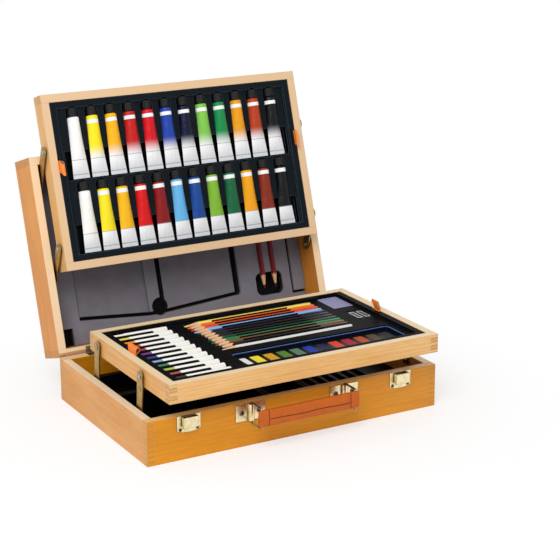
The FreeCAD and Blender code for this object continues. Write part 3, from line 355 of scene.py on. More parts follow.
def screw_head(radius, rise):
    """Screw head facing +Z: a dome falling off with the square of the radius, less two crossed slots
    that fade out at three fifths of the radius; a skirt and a foot close it below."""
    slot_half, slot_end, slot_deep, brim, foot = 0.17, 0.66, 0.45, 0.15, -0.8
    share = np.concatenate([np.linspace(0, 1, 15), [1.0, 0.0]])[:, None]
    angle = np.linspace(0, 2 * math.pi, 49)
    x, y = share * np.cos(angle) * radius, share * np.sin(angle) * radius
    narrow = np.minimum(np.abs(x), np.abs(y)) / radius
    slot = np.clip((slot_half - narrow) / 0.07, 0, 1) * np.clip((slot_end - share) / 0.1, 0, 1)
    z = rise * (1 - share ** 2) + brim - slot_deep * radius * slot
    z[-2:] = foot
    return grid(x, y, z)


def driven(head, xs, y, z, facing):
    """Heads moved to points in a row along X, turned from +Z to face -Y, +Y or +Z."""
    a, b, c = np.moveaxis(head, -1, 0)
    faced = np.stack({"-y": (a, -c, b), "+y": (a, c, -b), "+z": (a, b, c)}[facing], -1)
    return [faced + (x, y, z) for x in xs]


def paired(middle, spread, shift=0):
    """Four places along X: to both sides of two points that lie left and right of the case's middle."""
    return [side * middle + shift + hand * spread for side in (-1, 1) for hand in (-1, 1)]


latch_x, bracket_x, hinge_x, handle_shift = 141, 62.5, 143, -0.5
case_deep, rim_z, handle_z, latch_z, strike_z = 248, 53, 41.5, 36.5, -13
latch_plate, bracket_plate, hinge_in = 1.2, 1.5, 5.95
latch_y, bracket_y = -case_deep / 2 - latch_plate, -case_deep / 2 - bracket_plate
hinge_screws = paired(hinge_x, spread=7)
flat_head, dome_head = screw_head(2.2, 0.1), screw_head(3.3, 0.9)
brassed_screw = plated("brassed_screw_steel", "#8E7E5E", "#4A3E2C", rough=0.36, scratch=0.1)
base_heads = driven(flat_head, paired(latch_x, spread=10.75), latch_y, latch_z, "-y")
base_heads += driven(dome_head, paired(bracket_x, spread=11.3, shift=handle_shift), bracket_y, handle_z, "-y")
base_heads += driven(flat_head, hinge_screws, case_deep / 2 - hinge_in, rim_z, "+z")
dressed(skin("base_screw_heads", base_heads, base), brassed_screw, "base", "base_screws", slot="dark_steel")

# Handle: two pressed brass brackets, two bent wire rings that swing in their tunnels, and a leather grip.
# The grip is folded and sewn shut round the rings: flat ends, a padded middle, and a seam in front.
coat(brass_plate, "handle_brackets")
ring_wire = plated("plated_ring_wire", "#A89E8C", "#5A5246", rough=0.2, scratch=0.04)
coat(ring_wire, "handle_ring_left", "handle_ring_right")
grip_y = -152
grip_left, grip_right = -67, 66
sewn_in = 12.5


def squared(wave, power):
    """A sine or cosine filled out towards a square: its sign times a power of its size."""
    return np.sign(wave) * np.abs(wave) ** power


def leather_grip():
    """Rounded-box section carried along X, its columns evenly spread over the height. From the sewn ends to
    the padded middle it grows thicker and a little lower by a smooth step; stitch lines pinch it near each
    end, and the seam is a wavering furrow along the front. The map holds how far a point is above the seam
    and beyond the stitch line."""
    rim, fill = 2, 0.62
    flat_half, padded_half, half_tall = 2.7, 4.0, 10.2
    pad_start, pad_ease, pinch_half = 9, 11, 0.9
    seam_drop, seam_waver, seam_half, seam_deep = 1.2, 0.4, 0.6, 0.5
    roll = rim * (1 - np.cos(np.linspace(0.2, 1.57, 7)))
    body = np.linspace(grip_left + 2.5, grip_right - 2.5, 160)
    x = np.concatenate([[grip_left], grip_left + roll, body, grip_right - roll[::-1], [grip_right]])[:, None]
    back = np.arcsin(squared(np.sin(np.linspace(-math.pi / 2, math.pi / 2, 65)), 1 / fill))
    turn = np.concatenate([back, math.pi - back[::-1][1:]])
    end = np.minimum(x - grip_left, grip_right - x)
    full = np.clip((end - pad_start) / pad_ease, 0, 1)
    full = full * full * (3 - 2 * full)
    rounding = np.sqrt(np.clip(1 - (1 - np.clip(end / rim, 0, 1)) ** 2, 0, 1))
    pinch = np.exp(-((end - sewn_in) / pinch_half) ** 2)
    thick = (flat_half + (padded_half - flat_half) * full - 0.4 * pinch) * rounding
    tall = (half_tall - 0.25 * full - 0.25 * pinch) * rounding
    y, z = thick * squared(np.cos(turn), fill), tall * squared(np.sin(turn), fill)
    above = z + seam_drop - seam_waver * np.sin(x / 9)
    inside = np.clip((end - sewn_in - 0.5) / 2, 0, 1)
    furrow = np.exp(-(above / seam_half) ** 2) * inside * (np.cos(turn) < 0)
    return grid(x, y + seam_deep * furrow + grip_y, z + handle_z), grid(above, sewn_in - end)


def grip_leather():
    """Dyed leather with cloudy dye and a pebbled grain. The dark seam is drawn on the front and between the
    stitch lines only, and the stitch lines are pressed darker."""
    material, tree = started("tan_grip_leather", Roughness=0.5, IOR=1.5, Specular_IOR_Level=0.3)
    place = add(tree, "TexCoord", out=None)
    above, beyond = add(tree, "SeparateXYZ", [place["UV"]], out=None)[:2]
    # dye clouds about 8 mm across, pebbles 1.6 mm
    dye = add(tree, "TexNoise", {"Vector": place["Object"], "Scale": 120.0, "Detail": 5.0})
    cloudy = add(tree, "MapRange", [dye, 0.35, 0.7])
    dyed = add(tree, "Mix", {0: cloudy, 6: "#BC5A0C", 7: "#B0520A"}, **tint)
    off = add(tree, "Math", [above], operation="ABSOLUTE")
    seam = add(tree, "MapRange", [off, 0.75, 0.4])
    inside = add(tree, "MapRange", [beyond, 0, -2])
    front = add(tree, "VectorMath", [place["Normal"], (0, -1, 0)], out=1, operation="DOT_PRODUCT")
    ahead = add(tree, "MapRange", [front, 0.1, 0.3, 0, 0.9])
    for share in (inside, ahead):
        seam = add(tree, "Math", [seam, share], operation="MULTIPLY")
    seamed = add(tree, "Mix", {0: seam, 6: dyed, 7: "#431405"}, **tint)
    row = add(tree, "Math", [beyond], operation="ABSOLUTE")
    sewn = add(tree, "MapRange", [row, 1.0, 0.3, 0, 0.65])
    pressed = add(tree, "Mix", {0: sewn, 6: seamed, 7: "#6A2A0C"}, **tint)
    cells = add(tree, "TexVoronoi", {"Vector": place["Object"], "Scale": 1 / 0.0016})
    bump = add(tree, "Bump", {"Strength": 0.3, "Distance": 0.0003, "Height": cells})
    return wired(material, Base_Color=pressed, Normal=bump)


grip_points, grip_map = leather_grip()
dressed(skin("leather_grip", grip_points, base, grip_map), grip_leather(), "handle_grip", "handle_grip",
        slot="handle_leather")


def stitches(places, length, width):
    """Short raised threads: ellipsoids at (x, y, z) places, long along Z."""
    rise, turn = np.linspace(-math.pi / 2, math.pi / 2, 7)[:, None], np.linspace(0, 2 * math.pi, 9)
    ring = width * np.cos(rise)
    one = grid(ring * np.cos(turn), ring * np.sin(turn), length * np.sin(rise))
    return [one + place for place in places]


def waxed_thread():
    """Sewing thread with a twist: slanting bands of two browns, about 0.7 mm apart."""
    material, tree = started("waxed_brown_thread", Roughness=0.6)
    place = add(tree, "TexCoord", out="Object")
    twist = add(tree, "TexWave", {"Vector": place, "Scale": 500.0}, out=1, bands_direction="DIAGONAL")
    return wired(material, Base_Color=add(tree, "Mix", {0: twist, 6: "#4A1E10", 7: "#7A3A1C"}, **tint))


stitch_xs, stitch_y = (grip_left + sewn_in, grip_right - sewn_in), grip_y - 2.85
stitch_zs = handle_z + np.linspace(-7.4, 7.4, 6)
stitch_places = [(x, stitch_y, z) for x in stitch_xs for z in stitch_zs]
threads = stitches(stitch_places, length=1.0, width=0.36)
dressed(skin("grip_stitches", threads, base), waxed_thread(), "handle_grip", slot="handle_leather")

# Lid of the case: four more finger-jointed walls of the same beech and a thin panel let into their far edges.
# It stands open on the hinges, leaning back, and its sawn rims are pale.
lid = dict(base, tilt=math.radians(72.5), origin=(0, 0.124, 0.053), middle=0.124, finger=0.051 / 17, glue_and_shade=0.6)
lid_tones = ("#DC9034", "#D2862C", "#BA7424", "#EECFA8", "#C48030")
lid_ply = ("#DD9E42", "#D39236", "#BC7A26", "#DD9E42", "#BC7A26")
lid_wood = {"ring": beech_ring, "line": 0.25, "varnish": 0.15}
coat(timber("lid_beech_across", lid, "x", lid_tones, **lid_wood, shift=(0, 0.02, 0.2)),
     "lid_front_wall", "lid_rear_wall")
coat(timber("lid_beech_along", lid, "y", lid_tones, **lid_wood, shift=(0, 0.06, 0.17)),
     "lid_left_wall", "lid_right_wall")
coat(timber("lid_plywood", lid, "x", lid_ply, ring=0.014, line=0.35, varnish=0.35, shift=(0, 0.03, 0.25)),
     "lid_top_panel")
rivets("lid_link_rivets", case_rivet, lid, "lid", y=92.1, z=-12.2, step=link_step)
lid_heads = driven(flat_head, hinge_screws, hinge_in, 0, "+z")
lid_heads += driven(flat_head, paired(latch_x, spread=9.5), case_deep + latch_plate, strike_z, "+y")
dressed(skin("lid_screw_heads", lid_heads, lid), brassed_screw, "lid", "lid_screws", slot="dark_steel")

# Liner of the lid: a formed sheet of grey polystyrene with two shallow pad pockets, channels along their
# edges, a finger notch and a bed for two pencils. What dips below the level, such as the channels, is painted
# near black as shade, and the bent edges paler as painted highlights.
coat(formed_sheet("grey_formed_polystyrene", lid, "#7A7982", "#09090A", "#56545C", level=-0.0385,
                  gloss=0.42), "lid_liner")

# Links: flat strips of drawn brass with round ends, two at each side of each tray.
# They have gone dull in use, with brushed scratches, and painted shade round the rivets.
link_brass = plated("drawn_link_brass", "#B8975A", "#8A6C34", rough=0.36, scratch=0.2)
coat(link_brass, "lower_rear_links", "lower_front_links", "upper_rear_links", "upper_front_links")

# Lower tray: pale pine walls, finger-jointed, with a thin plywood bottom; only a thin clear lacquer.
# Straight growth lines run along each wall and the sawn rims are paler still.
# the trays' finger joints take strong dark lines: glue lines and painted shadow at the finger ends
lower = {"tilt": 0.0, "origin": (0, -0.1507509, 0.0793933), "half": (0.1765, 0.10775), "middle": 0.10775,
         "finger": 0.0045, "glue_and_shade": 0.85}
tray_tones = ("#E3B478", "#DAA662", "#BE864A", "#E8CFA8", "#CC9C60")
tray_side_tones = ("#DFA968", "#D69C54", "#BA7E40", "#E8CFA8", "#CC9C60")


def tray_timber(tray, group, tones, side_tones, shifts):
    """Pine on a tray's four walls, its growth lines a few millimetres apart, and plywood on its bottom."""
    ply = ("#E4BC82", "#DCB074", "#C4924E", "#E4BC82", "#B98548")
    pine = {"ring": 0.0034, "line": 0.28, "varnish": 0.08}
    coat(timber(tray + "_pine_across", group, "x", tones, **pine, shift=shifts[0]),
         tray + "_tray_front_wall", tray + "_tray_rear_wall")
    coat(timber(tray + "_pine_along", group, "y", side_tones, **pine, shift=shifts[1]),
         tray + "_tray_left_wall", tray + "_tray_right_wall")
    coat(timber(tray + "_tray_plywood", group, "x", ply, ring=0.014, line=0.3, varnish=0.05, shift=shifts[2]),
         tray + "_tray_bottom")


tray_timber("lower", lower, tray_tones, tray_side_tones, [(0, 0.02, 0.11), (0, 0.03, 0.13), (0, 0.02, 0.3)])
# the darker tone is painted shade in the liner's hollows, the grey a painted highlight on its bent edges
coat(formed_sheet("lower_black_polystyrene", lower, "#0D0D0F", "#08080A", "#26262A", level=0.0185, gloss=0.38,
                  shine=0.012), "lower_tray_liner")
rivets("lower_tray_link_rivets", tray_rivet, lower, "lower_tray", y=187.5, z=12.5, step=-link_step)

# Pull tabs: strips of orange leather folded into a loop, both ends tucked between a tray's wall and liner.
# The outside is smooth and dyed; the inside of the loop is rough red-brown suede and the cut edges are tan.


def leather_loop(y, side, half, high, tilt, droop, width, flare, shift):
    """A flat rounded section carried along a teardrop path: up from the tuck, round a loop whose half width
    is sine times the 1.5th power of the half-angle sine, and down again. The loop leans inwards, flares with
    its height and droops along the wall with the square of its height. The map marks its inside and edges."""
    tuck_x, tray_rim, half_thick, fill = 165.3, 22.5, 0.58, 0.25
    turn = np.linspace(0, 2 * math.pi, 61)
    loop = grid(-half * np.sin(turn) * np.sin(turn / 2) ** 1.5, high * (1 - np.cos(turn)) / 2)
    c, s = math.cos(math.radians(tilt)), math.sin(math.radians(tilt))
    loop = loop @ np.array([[c, s], [-s, c]])
    tuck = np.linspace(-6, -0.6, 5)
    path = np.concatenate([grid(-0.62, tuck), loop[2:-2], grid(0.62, tuck[::-1])])
    slope = np.gradient(path, axis=0)
    slope /= np.linalg.norm(slope, axis=1, keepdims=True)
    out = grid(-slope[:, 1], slope[:, 0])
    around = np.linspace(0, 2 * math.pi, 41)
    broad, thick = width * squared(np.cos(around), fill), half_thick * squared(np.sin(around), fill)
    close = np.ones((len(path), 1))
    close[[0, -1]] = 0
    x, z = np.moveaxis(path[:, None] + out[:, None] * (thick * close)[..., None], -1, 0)
    raised = np.clip(z / 9, 0, 1)
    wide = y + shift + broad * close * (1 + flare * raised) - droop * raised ** 2
    inside, edge = np.sin(around) <= 0, np.abs(np.cos(around)) > 0.93
    marks = np.broadcast_to(grid(inside, edge) * 1.0, x.shape + (2,))
    return grid(side * (tuck_x + x), wide, tray_rim + z), marks


def tab_leather():
    """Dyed leather by the map's marks: orange outside, suede inside, tan where it is cut; a fine pebble."""
    material, tree = started("orange_tab_leather", Roughness=0.5, IOR=1.5)
    place = add(tree, "TexCoord", out=None)
    marks = add(tree, "SeparateXYZ", [place["UV"]], out=None)
    # dye clouds about 4 mm across, pebbles a little under 1 mm
    dye = add(tree, "TexNoise", {"Vector": place["Object"], "Scale": 250.0, "Detail": 5.0})
    cloudy = add(tree, "MapRange", [dye, 0.35, 0.68])
    outside = add(tree, "Mix", {0: cloudy, 6: "#F58A2C", 7: "#E66E14"}, **tint)
    suede = add(tree, "Mix", {0: cloudy, 6: "#B0502C", 7: "#8E3A1E"}, **tint)
    sides = add(tree, "Mix", {0: marks[0], 6: outside, 7: suede}, **tint)
    cut = add(tree, "Mix", {0: marks[1], 6: sides, 7: "#C9884E"}, **tint)
    cells = add(tree, "TexVoronoi", {"Vector": place["Object"], "Scale": 1100.0})
    bump = add(tree, "Bump", {"Strength": 0.3, "Distance": 0.0003, "Height": cells})
    return wired(material, Base_Color=cut, Normal=bump)


tab_hide = tab_leather()


def pull_tabs(name, y, group, body, right, left):
    """A loop at the right wall and one at the left, each with the shape that leather_loop takes."""
    points, marks = zip(leather_loop(y, 1, **right), leather_loop(y, -1, **left))
    dressed(skin(name, points, group, np.stack(marks)), tab_hide, body, name.replace("leather", "pull"),
            slot="tab_leather")


pull_tabs("lower_tray_leather_tabs", 118.75, lower, "lower_tray",
          {"half": 1.3, "high": 11.2, "tilt": 4, "droop": -5.0, "width": 5.5, "flare": 0.2, "shift": -4.5},
          {"half": 3.2, "high": 8.8, "tilt": 20, "droop": 0.0, "width": 10, "flare": 0.15, "shift": 0})

# Oil pastels: twelve round sticks of pigment in wax, each in a white paper sleeve that leaves one end bare.
# They lie side by side in round grooves; the bare ends are waxy and slightly rubbed.
pastel_hues = ("#F4F0E4", "#E8DC5A", "#EE8A2A", "#C8342A", "#A02A3A", "#6A2A7C",
               "#26327C", "#7EA6D8", "#2A7A4C", "#A8C040", "#A4492A", "#2A2624")
# along, radius: bare round end, paper sleeve, and the wax a little inside the sleeve's other end
stick = [(-158, 0), (-158, 3.9), (-157.4, 4.8), (-156.5, 5.15), (-140.6, 5.15), (-140.5, 5.15),
         (-140.5, 5.48), (-140.3, 5.5), (-85.4, 5.5), (-85.1, 5.45), (-85.1, 5.0), (-85.6, 4.9), (-85.6, 0)]
bare = np.array([1, 1, 1, 1, 1, 0, 0, 0, 0, 0, 0, 1, 1.0])[:, None]
stick_sides, stick_pitch, first_stick, stick_z = 36, 15.1, 196.75, 13.3


def painted(hues):
    """One linear colour for every piece of a row."""
    return np.array([linear(code) for code in hues])[:, None, None]


def banded(tree, under, over, value, middle, half, share=1.0):
    """A colour with a share of another laid over it where a value is no further than half from a middle."""
    band = add(tree, "Math", [value, middle, half], operation="COMPARE")
    faint = add(tree, "MapRange", [band, 0, 1, 0, share])
    return add(tree, "Mix", {0: faint, 6: under, 7: over}, **tint)


def sleeved_wax():
    """Waxy pigment, rubbed in patches about 1.5 mm across, where the map says bare; elsewhere white paper,
    whose glued overlap is a thin greyer line along the stick."""
    material, tree = started("waxed_pigment_in_paper", IOR=1.45)
    place = add(tree, "TexCoord", out=None)
    marks = add(tree, "SeparateXYZ", [place["UV"]], out=None)
    hue = add(tree, "Attribute", out="Color", attribute_name="paint")
    rub = add(tree, "TexNoise", {"Vector": place["Object"], "Scale": 700.0, "Detail": 4.0})
    tone = add(tree, "MapRange", [rub, 0.3, 0.7, 0.8, 1.12])
    rubbed = add(tree, "VectorMath", [hue, tone], operation="MULTIPLY")
    sleeve = banded(tree, "#F3F0EA", "#BDB8B0", marks[1], middle=0.36, half=0.012, share=0.35)
    colour = add(tree, "Mix", {0: marks[0], 6: sleeve, 7: rubbed}, **tint)
    rough = add(tree, "MapRange", [marks[0], 0, 1, 0.62, 0.4])
    bump = add(tree, "Bump", {"Strength": 0.2, "Distance": 0.0002, "Height": rub})
    return wired(material, Base_Color=colour, Roughness=rough, Normal=bump)


sticks = [turned(stick, stick_sides) + (0, first_stick - stick_pitch * i, stick_z)
          for i in range(len(pastel_hues))]
stick_map = grid(bare, np.linspace(0, 1, stick_sides + 1))
dressed(skin("paper_sleeved_pastels", sticks, lower, stick_map, painted(pastel_hues)), sleeved_wax(),
        "lower_tray", "oil_pastels", slot="pastel")

# Coloured pencils: six-sided cedar, lacquered, sharpened to a cone that leaves scallops in the lacquer.
# Twelve lie in the lower tray between ribs, and two more dark red ones lie in the lid's bed.
pencil_flat = 3.2476
pencil_pitch, first_pencil, pencil_tip = 9, 188.75, -65
rib_top, sunk = 21.0, 0.7
pencil_z = rib_top - sunk - pencil_flat
pencil_hues = ("#F4DE66", "#EA6E30", "#DE4E2A", "#86B8E6", "#1A2440", "#241E2A",
               "#1E1C20", "#1C4630", "#2E7A48", "#7A5030", "#1C1A1A", "#E4E2DE")


def sharpened_pencil():
    """Along X from the tip, six-sided round it. The radius is the smaller of the hexagon's, its corners a
    little rounded, and the sharpener's cone's; the first map value is how far the cone has cut below the
    hexagon, the second how far away the tip is."""
    along = np.concatenate([[0, 0], np.linspace(0.2, 16, 9), np.linspace(16.4, 21, 14),
                            np.linspace(24, 176.4, 12), [177, 177]])[:, None]
    lead_tip, taper = 0.55, 0.1588
    turn = np.linspace(0, 2 * math.pi, 73)
    six = pencil_flat / np.cos(turn % (math.pi / 3) - math.pi / 6)
    six = six - 0.2 * (six - pencil_flat)
    cone = lead_tip + taper * along
    radius = np.minimum(six, cone)
    radius[-2] -= 0.3
    radius[[0, -1]] = 0
    return grid(along, radius * np.cos(turn), radius * np.sin(turn)), grid(six - cone, along)


def lacquered_cedar():
    """Gloss lacquer in the pencil's hue, pinkish cedar with flecks about 1 mm across where the cone has cut,
    and the lead's hue again within 5 mm of the tip."""
    material, tree = started("lacquered_cedar_pencil", IOR=1.5, Specular_IOR_Level=0.12)
    place = add(tree, "TexCoord", out=None)
    cut, along = add(tree, "SeparateXYZ", [place["UV"]], out=None)[:2]
    hue = add(tree, "Attribute", out="Color", attribute_name="paint")
    bared = add(tree, "MapRange", [cut, -0.02, 0.02])
    lead = add(tree, "MapRange", [along, 5.2, 4.8])
    flecks = add(tree, "TexNoise", {"Vector": place["Object"], "Scale": 900.0, "Detail": 3.0})
    cedar = add(tree, "Mix", {0: flecks, 6: "#EDC6A0", 7: "#CC986C"}, **tint)
    wooded = add(tree, "Mix", {0: bared, 6: hue, 7: cedar}, **tint)
    leaded = add(tree, "Mix", {0: lead, 6: wooded, 7: hue}, **tint)
    rough = add(tree, "MapRange", [bared, 0, 1, 0.25, 0.65])
    bump = add(tree, "Bump", {"Strength": 0.08, "Distance": 0.0002, "Height": flecks})
    return wired(material, Base_Color=leaded, Roughness=rough, Normal=bump)


pencil, pencil_marks = sharpened_pencil()
lacquer = lacquered_cedar()
# the last pencil of the row is a slimmer one
girths = [(1, 1, 1)] * 11 + [(1, 0.8, 0.8)]
pencils = [pencil * girth + (pencil_tip, first_pencil - pencil_pitch * i, pencil_z)
           for i, girth in enumerate(girths)]
dressed(skin("cedar_pencils", pencils, lower, pencil_marks, painted(pencil_hues)), lacquer, "lower_tray",
        "coloured_pencils", slot="pencil_wood")
upright = grid(-pencil[..., 1], pencil[..., 0], pencil[..., 2])
bed_xs, bed_y, bed_z = (121, 138), 42, -35.5
pair = [upright + (x, bed_y, bed_z) for x in bed_xs]
dressed(skin("cedar_lid_pencils", pair, lid, pencil_marks, painted(["#6E1E22"])), lacquer, "lid",
        "lid_pencils", slot="pencil_wood")

# Watercolour box: a moulded tray of dark blue polypropylene with round corners, a thin rim painted pale as a
# highlight, and a sunk black deck. Twelve pressed cakes of paint sit in its deck.


def box_plastic():
    """Moulded plastic by height: a rim painted pale blue as a highlight, dark blue walls and a black deck,
    with a mould texture about 0.7 mm across and eased edges."""
    material, tree = started("moulded_blue_polypropylene", Roughness=0.3, IOR=1.49, Specular_IOR_Level=0.1)
    height = add(tree, "SeparateXYZ", [in_group(tree, lower)], out=2)
    # the rim's pale blue is a painted highlight along its top
    rim = add(tree, "MapRange", [height, 0.0164, 0.0169])
    deck = add(tree, "MapRange", [height, 0.0133, 0.0127])
    wall = add(tree, "Mix", {0: rim, 6: "#0A1022", 7: "#5C7CC0"}, **tint)
    tone = add(tree, "Mix", {0: deck, 6: wall, 7: "#0C0D10"}, **tint)
    peel = add(tree, "TexNoise", {"Vector": add(tree, "TexCoord", out="Object"), "Scale": 1400.0})
    eased = add(tree, "Bevel", {"Radius": 0.0006}, samples=4)
    bump = add(tree, "Bump", {"Strength": 0.06, "Distance": 0.0002, "Height": peel, "Normal": eased})
    return wired(material, Base_Color=tone, Normal=bump)


coat(box_plastic(), "pan_box")


def rounded(power, sides):
    """X and Y round a unit square with round corners, a superellipse of the given power."""
    turn = np.linspace(0, 2 * math.pi, sides + 1)
    c, s = np.cos(turn), np.sin(turn)
    reach = (np.abs(c) ** power + np.abs(s) ** power) ** (-1 / power)
    return reach * c, reach * s


def paint_cake():
    """Rounded-rectangle rings from the middle outwards; the top is worn into a shallow hollow, rises to a lip
    and rolls over to the sides, and the last ring closes below."""
    half_x, half_y, top, foot = 6.15, 13.3, 12.65, 8.7
    worn_deep, worn_wide, lip_drop, lip_start = 0.35, 0.55, 0.5, 0.88
    share = np.concatenate([np.linspace(0, 1, 14), [1.0, 0.0]])[:, None]
    x, y = rounded(16, 64)
    lip = np.clip((share - lip_start) / (1 - lip_start), 0, 1)
    z = top - worn_deep * np.exp(-(share / worn_wide) ** 2) - lip_drop * lip ** 2
    z[-2:] = foot
    return grid(half_x * share * x, half_y * share * y, z)


def pressed_cake():
    """Dried watercolour: the cake's own hue, with patches and pits about 1.5 mm across."""
    material, tree = started("pressed_watercolour_cake", IOR=1.45, Specular_IOR_Level=0.15)
    hue = add(tree, "Attribute", out="Color", attribute_name="paint")
    place = add(tree, "TexCoord", out="Object")
    pits = add(tree, "TexNoise", {"Vector": place, "Scale": 650.0, "Detail": 4.0})
    tone = add(tree, "MapRange", [pits, 0.3, 0.7, 0.82, 1.1])
    rough = add(tree, "MapRange", [pits, 0.3, 0.7, 0.4, 0.62])
    colour = add(tree, "VectorMath", [hue, tone], operation="MULTIPLY")
    bump = add(tree, "Bump", {"Strength": 0.25, "Distance": 0.0003, "Height": pits})
    return wired(material, Base_Color=colour, Roughness=rough, Normal=bump)


pan_hues = ("#E9E7DF", "#F0DC38", "#D89A24", "#557F2C", "#587C66", "#2438A0",
            "#12203E", "#DA452A", "#A82038", "#B84C20", "#54442A", "#242426")
first_pan, pan_pitch, pan_y = -55, 17.6, 51.25
cakes = [paint_cake() + (first_pan + pan_pitch * i, pan_y, 0) for i in range(len(pan_hues))]
dressed(skin("paint_cakes", cakes, lower, paint=painted(pan_hues)), pressed_cake(), "lower_tray",
        "paint_pans", slot="paint")

# Eraser: a block of grey-violet synthetic rubber, cut from a moulded slab, its edges softened by use.
# It lies loose in its well; the surface is matt, smudged and finely pitted.


def rubber_block(middle, half, corner):
    """Rounded-rectangle rings from the middle of the underside to the middle of the top; the edges roll over
    a quarter circle of the given radius."""
    roll = np.linspace(0, math.pi / 2, 7)
    early, late = corner * (1 - np.cos(roll)), corner * (1 - np.sin(roll))
    inset = np.pad(np.concatenate([late, early]), 2, "edge")
    rise = np.pad(np.concatenate([early - half[2], half[2] - late]), 2, "edge")[:, None]
    spread = np.concatenate([[0, 0.5], np.ones(14), [0.5, 0]])
    x, y = rounded(16, 96)
    across, deep = (spread * (half[0] - inset))[:, None], (spread * (half[1] - inset))[:, None]
    return grid(across * x, deep * y, rise) + middle


def synthetic_rubber():
    """Matt rubber: smudges about 6 mm across and pits about 0.8 mm."""
    material, tree = started("synthetic_rubber", IOR=1.5)
    place = add(tree, "TexCoord", out="Object")
    smudge = add(tree, "TexNoise", {"Vector": place, "Scale": 160.0, "Detail": 5.0})
    colour = add(tree, "Mix", {0: smudge, 6: "#8280A8", 7: "#9694B6"}, **tint)
    rough = add(tree, "MapRange", [smudge, 0, 1, 0.6, 0.8])
    pits = add(tree, "TexNoise", {"Vector": place, "Scale": 1200.0, "Detail": 2.0})
    bump = add(tree, "Bump", {"Strength": 0.15, "Distance": 0.0002, "Height": pits})
    return wired(material, Base_Color=colour, Roughness=rough, Normal=bump)


block = rubber_block(middle=(143.5, 179.75, 12.0), half=(15.5, 23.5, 5.5), corner=1.2)
dressed(skin("rubber_eraser", block, lower), synthetic_rubber(), "lower_tray", "eraser", slot="eraser_rubber")

# Sharpener: a black lacquered metal block with two holes, lying in a well beside the eraser.
# A steel blade is screwed over each hole; its ground edges are painted near white, a painted highlight for
# their glint.
# the block's darker tone below the level is painted shade, and its near-white bent edges a painted highlight
coat(formed_sheet("black_lacquered_metal", lower, "#121214", "#0A0A0C", "#E4E4E4", level=0.0175, gloss=0.3),
     "sharpener")
coat(plated("ground_blade_steel", "#2A2A2C", "#1C1C1E", rough=0.34, scratch=0.12), "sharpener_blades")
blade_xs, blade_y, blade_z = (138, 149), 121.75, 18.2


def ground_rim(x, y, half, width):
    """A low ridge round a blade's rounded border: outer foot, outer top, inner top, inner foot."""
    rise, slope = 0.25, 0.15
    inset = np.array([0, slope, width - slope, width, 0])[:, None]
    level = blade_z + np.array([0, rise, rise, 0, 0])[:, None]
    u, v = rounded(10, 64)
    return grid(x + (half[0] - inset) * u, y + (half[1] - inset) * v, level)


rims = [ground_rim(x, blade_y, half=(3.75, 12), width=1.3) for x in blade_xs]
# near-white ground edges, not metallic along their eased edges: a painted highlight for the glint of ground
# steel
glint_painted_steel = plated("ground_edge_painted_glint", "#F4F4F4", "#DCDCDC", rough=0.3, scratch=0.05, edge="#F4F4F4",
                      ease=0.0016)
dressed(skin("blade_ground_edges", rims, lower), glint_painted_steel, "lower_tray", slot="rivet_steel")
blade_heads = driven(screw_head(1.9, 0.25), blade_xs, blade_y, blade_z + 0.1, "+z")
dressed(skin("blade_screws", blade_heads, lower), brassed_screw, "lower_tray", slot="dark_steel")

# Upper tray: the same pine tray on links in the lid, with its leather tabs and a slate liner for tubes.
# Its open side faces out. The liner's troughs and slots, below its slate bars, are painted near black as
# shade, and the bars' bent edges paler as painted highlights.
upper_corner = laid((0, 103.5005, 6.083), lid)
upper = dict(lower, tilt=lid["tilt"], origin=tuple(upper_corner))
upper_tones = tray_tones[:3] + ("#DDBA92",) + tray_tones[4:]
tray_timber("upper", upper, upper_tones, upper_tones, [(0, 0.03, 0.12), (0, 0.01, 0.15), (0, 0.02, 0.33)])
coat(formed_sheet("slate_formed_polystyrene", upper, "#12191E", "#050607", "#54626B", level=0.0183,
                  gloss=0.42), "upper_tray_liner")
rivets("upper_tray_link_rivets", tray_rivet, upper, "upper_tray", y=28, z=12.5, step=link_step)
pull_tabs("upper_tray_leather_tabs", 128.75, upper, "upper_tray",
          {"half": 1.6, "high": 8.4, "tilt": 14, "droop": 3.0, "width": 9, "flare": 0.1, "shift": 0},
          {"half": 2.4, "high": 8.0, "tilt": 20, "droop": 7.0, "width": 7.5, "flare": -0.1, "shift": -2})

# Paint tubes: two rows of twelve aluminium tubes, lacquered, filled, then folded and crimped flat at one end.
# The lower row carries solid colour, the upper row a colour that fades to white; each has a white ring near
# its cap.
tube_long, fold_long = 76, 5


def soft_tube():
    """Along Y from the fold. The section is drawn from a flat line, whose points are spread by arc length, to
    a circle: the share of circle grows with the 0.85th power of the way along, and the height with a sine."""
    flat_half, round_half, fold_half, swell = 10.65, 7.2, 0.62, 6.55
    shoulder = 74
    along = np.concatenate([[0, 0, 2.4, 2.5, 4.9, fold_long], np.linspace(7, shoulder, 30),
                            [74.9, 75.6, tube_long, tube_long]])[:, None]
    share = np.clip((along - fold_long) / (shoulder - fold_long), 0, 1)
    roundness = share ** 0.85
    angle = np.linspace(0, 2 * math.pi, 65)
    flat = 1 - 2 * np.abs((angle / math.pi + 1) % 2 - 1)
    x = (1 - roundness) * flat_half * flat + roundness * round_half * np.cos(angle)
    lens = squared(np.sin(angle), 0.35) * np.clip(1.4 * (1 - np.abs(flat)), 0, 1) ** 0.6
    high = fold_half + swell * np.sin(share * math.pi / 2)
    z = high * ((1 - roundness) * lens + roundness * np.sin(angle))
    neck = np.ones_like(along)
    neck[-4:, 0] = 0.93, 0.72, 0.44, 0
    neck[0] = 0
    fold = np.where((along > 2.45) & (along < 4.95), 0.75, 1.0)
    return grid(x * neck, along, z * neck * fold), grid(angle / (2 * math.pi), along / tube_long)


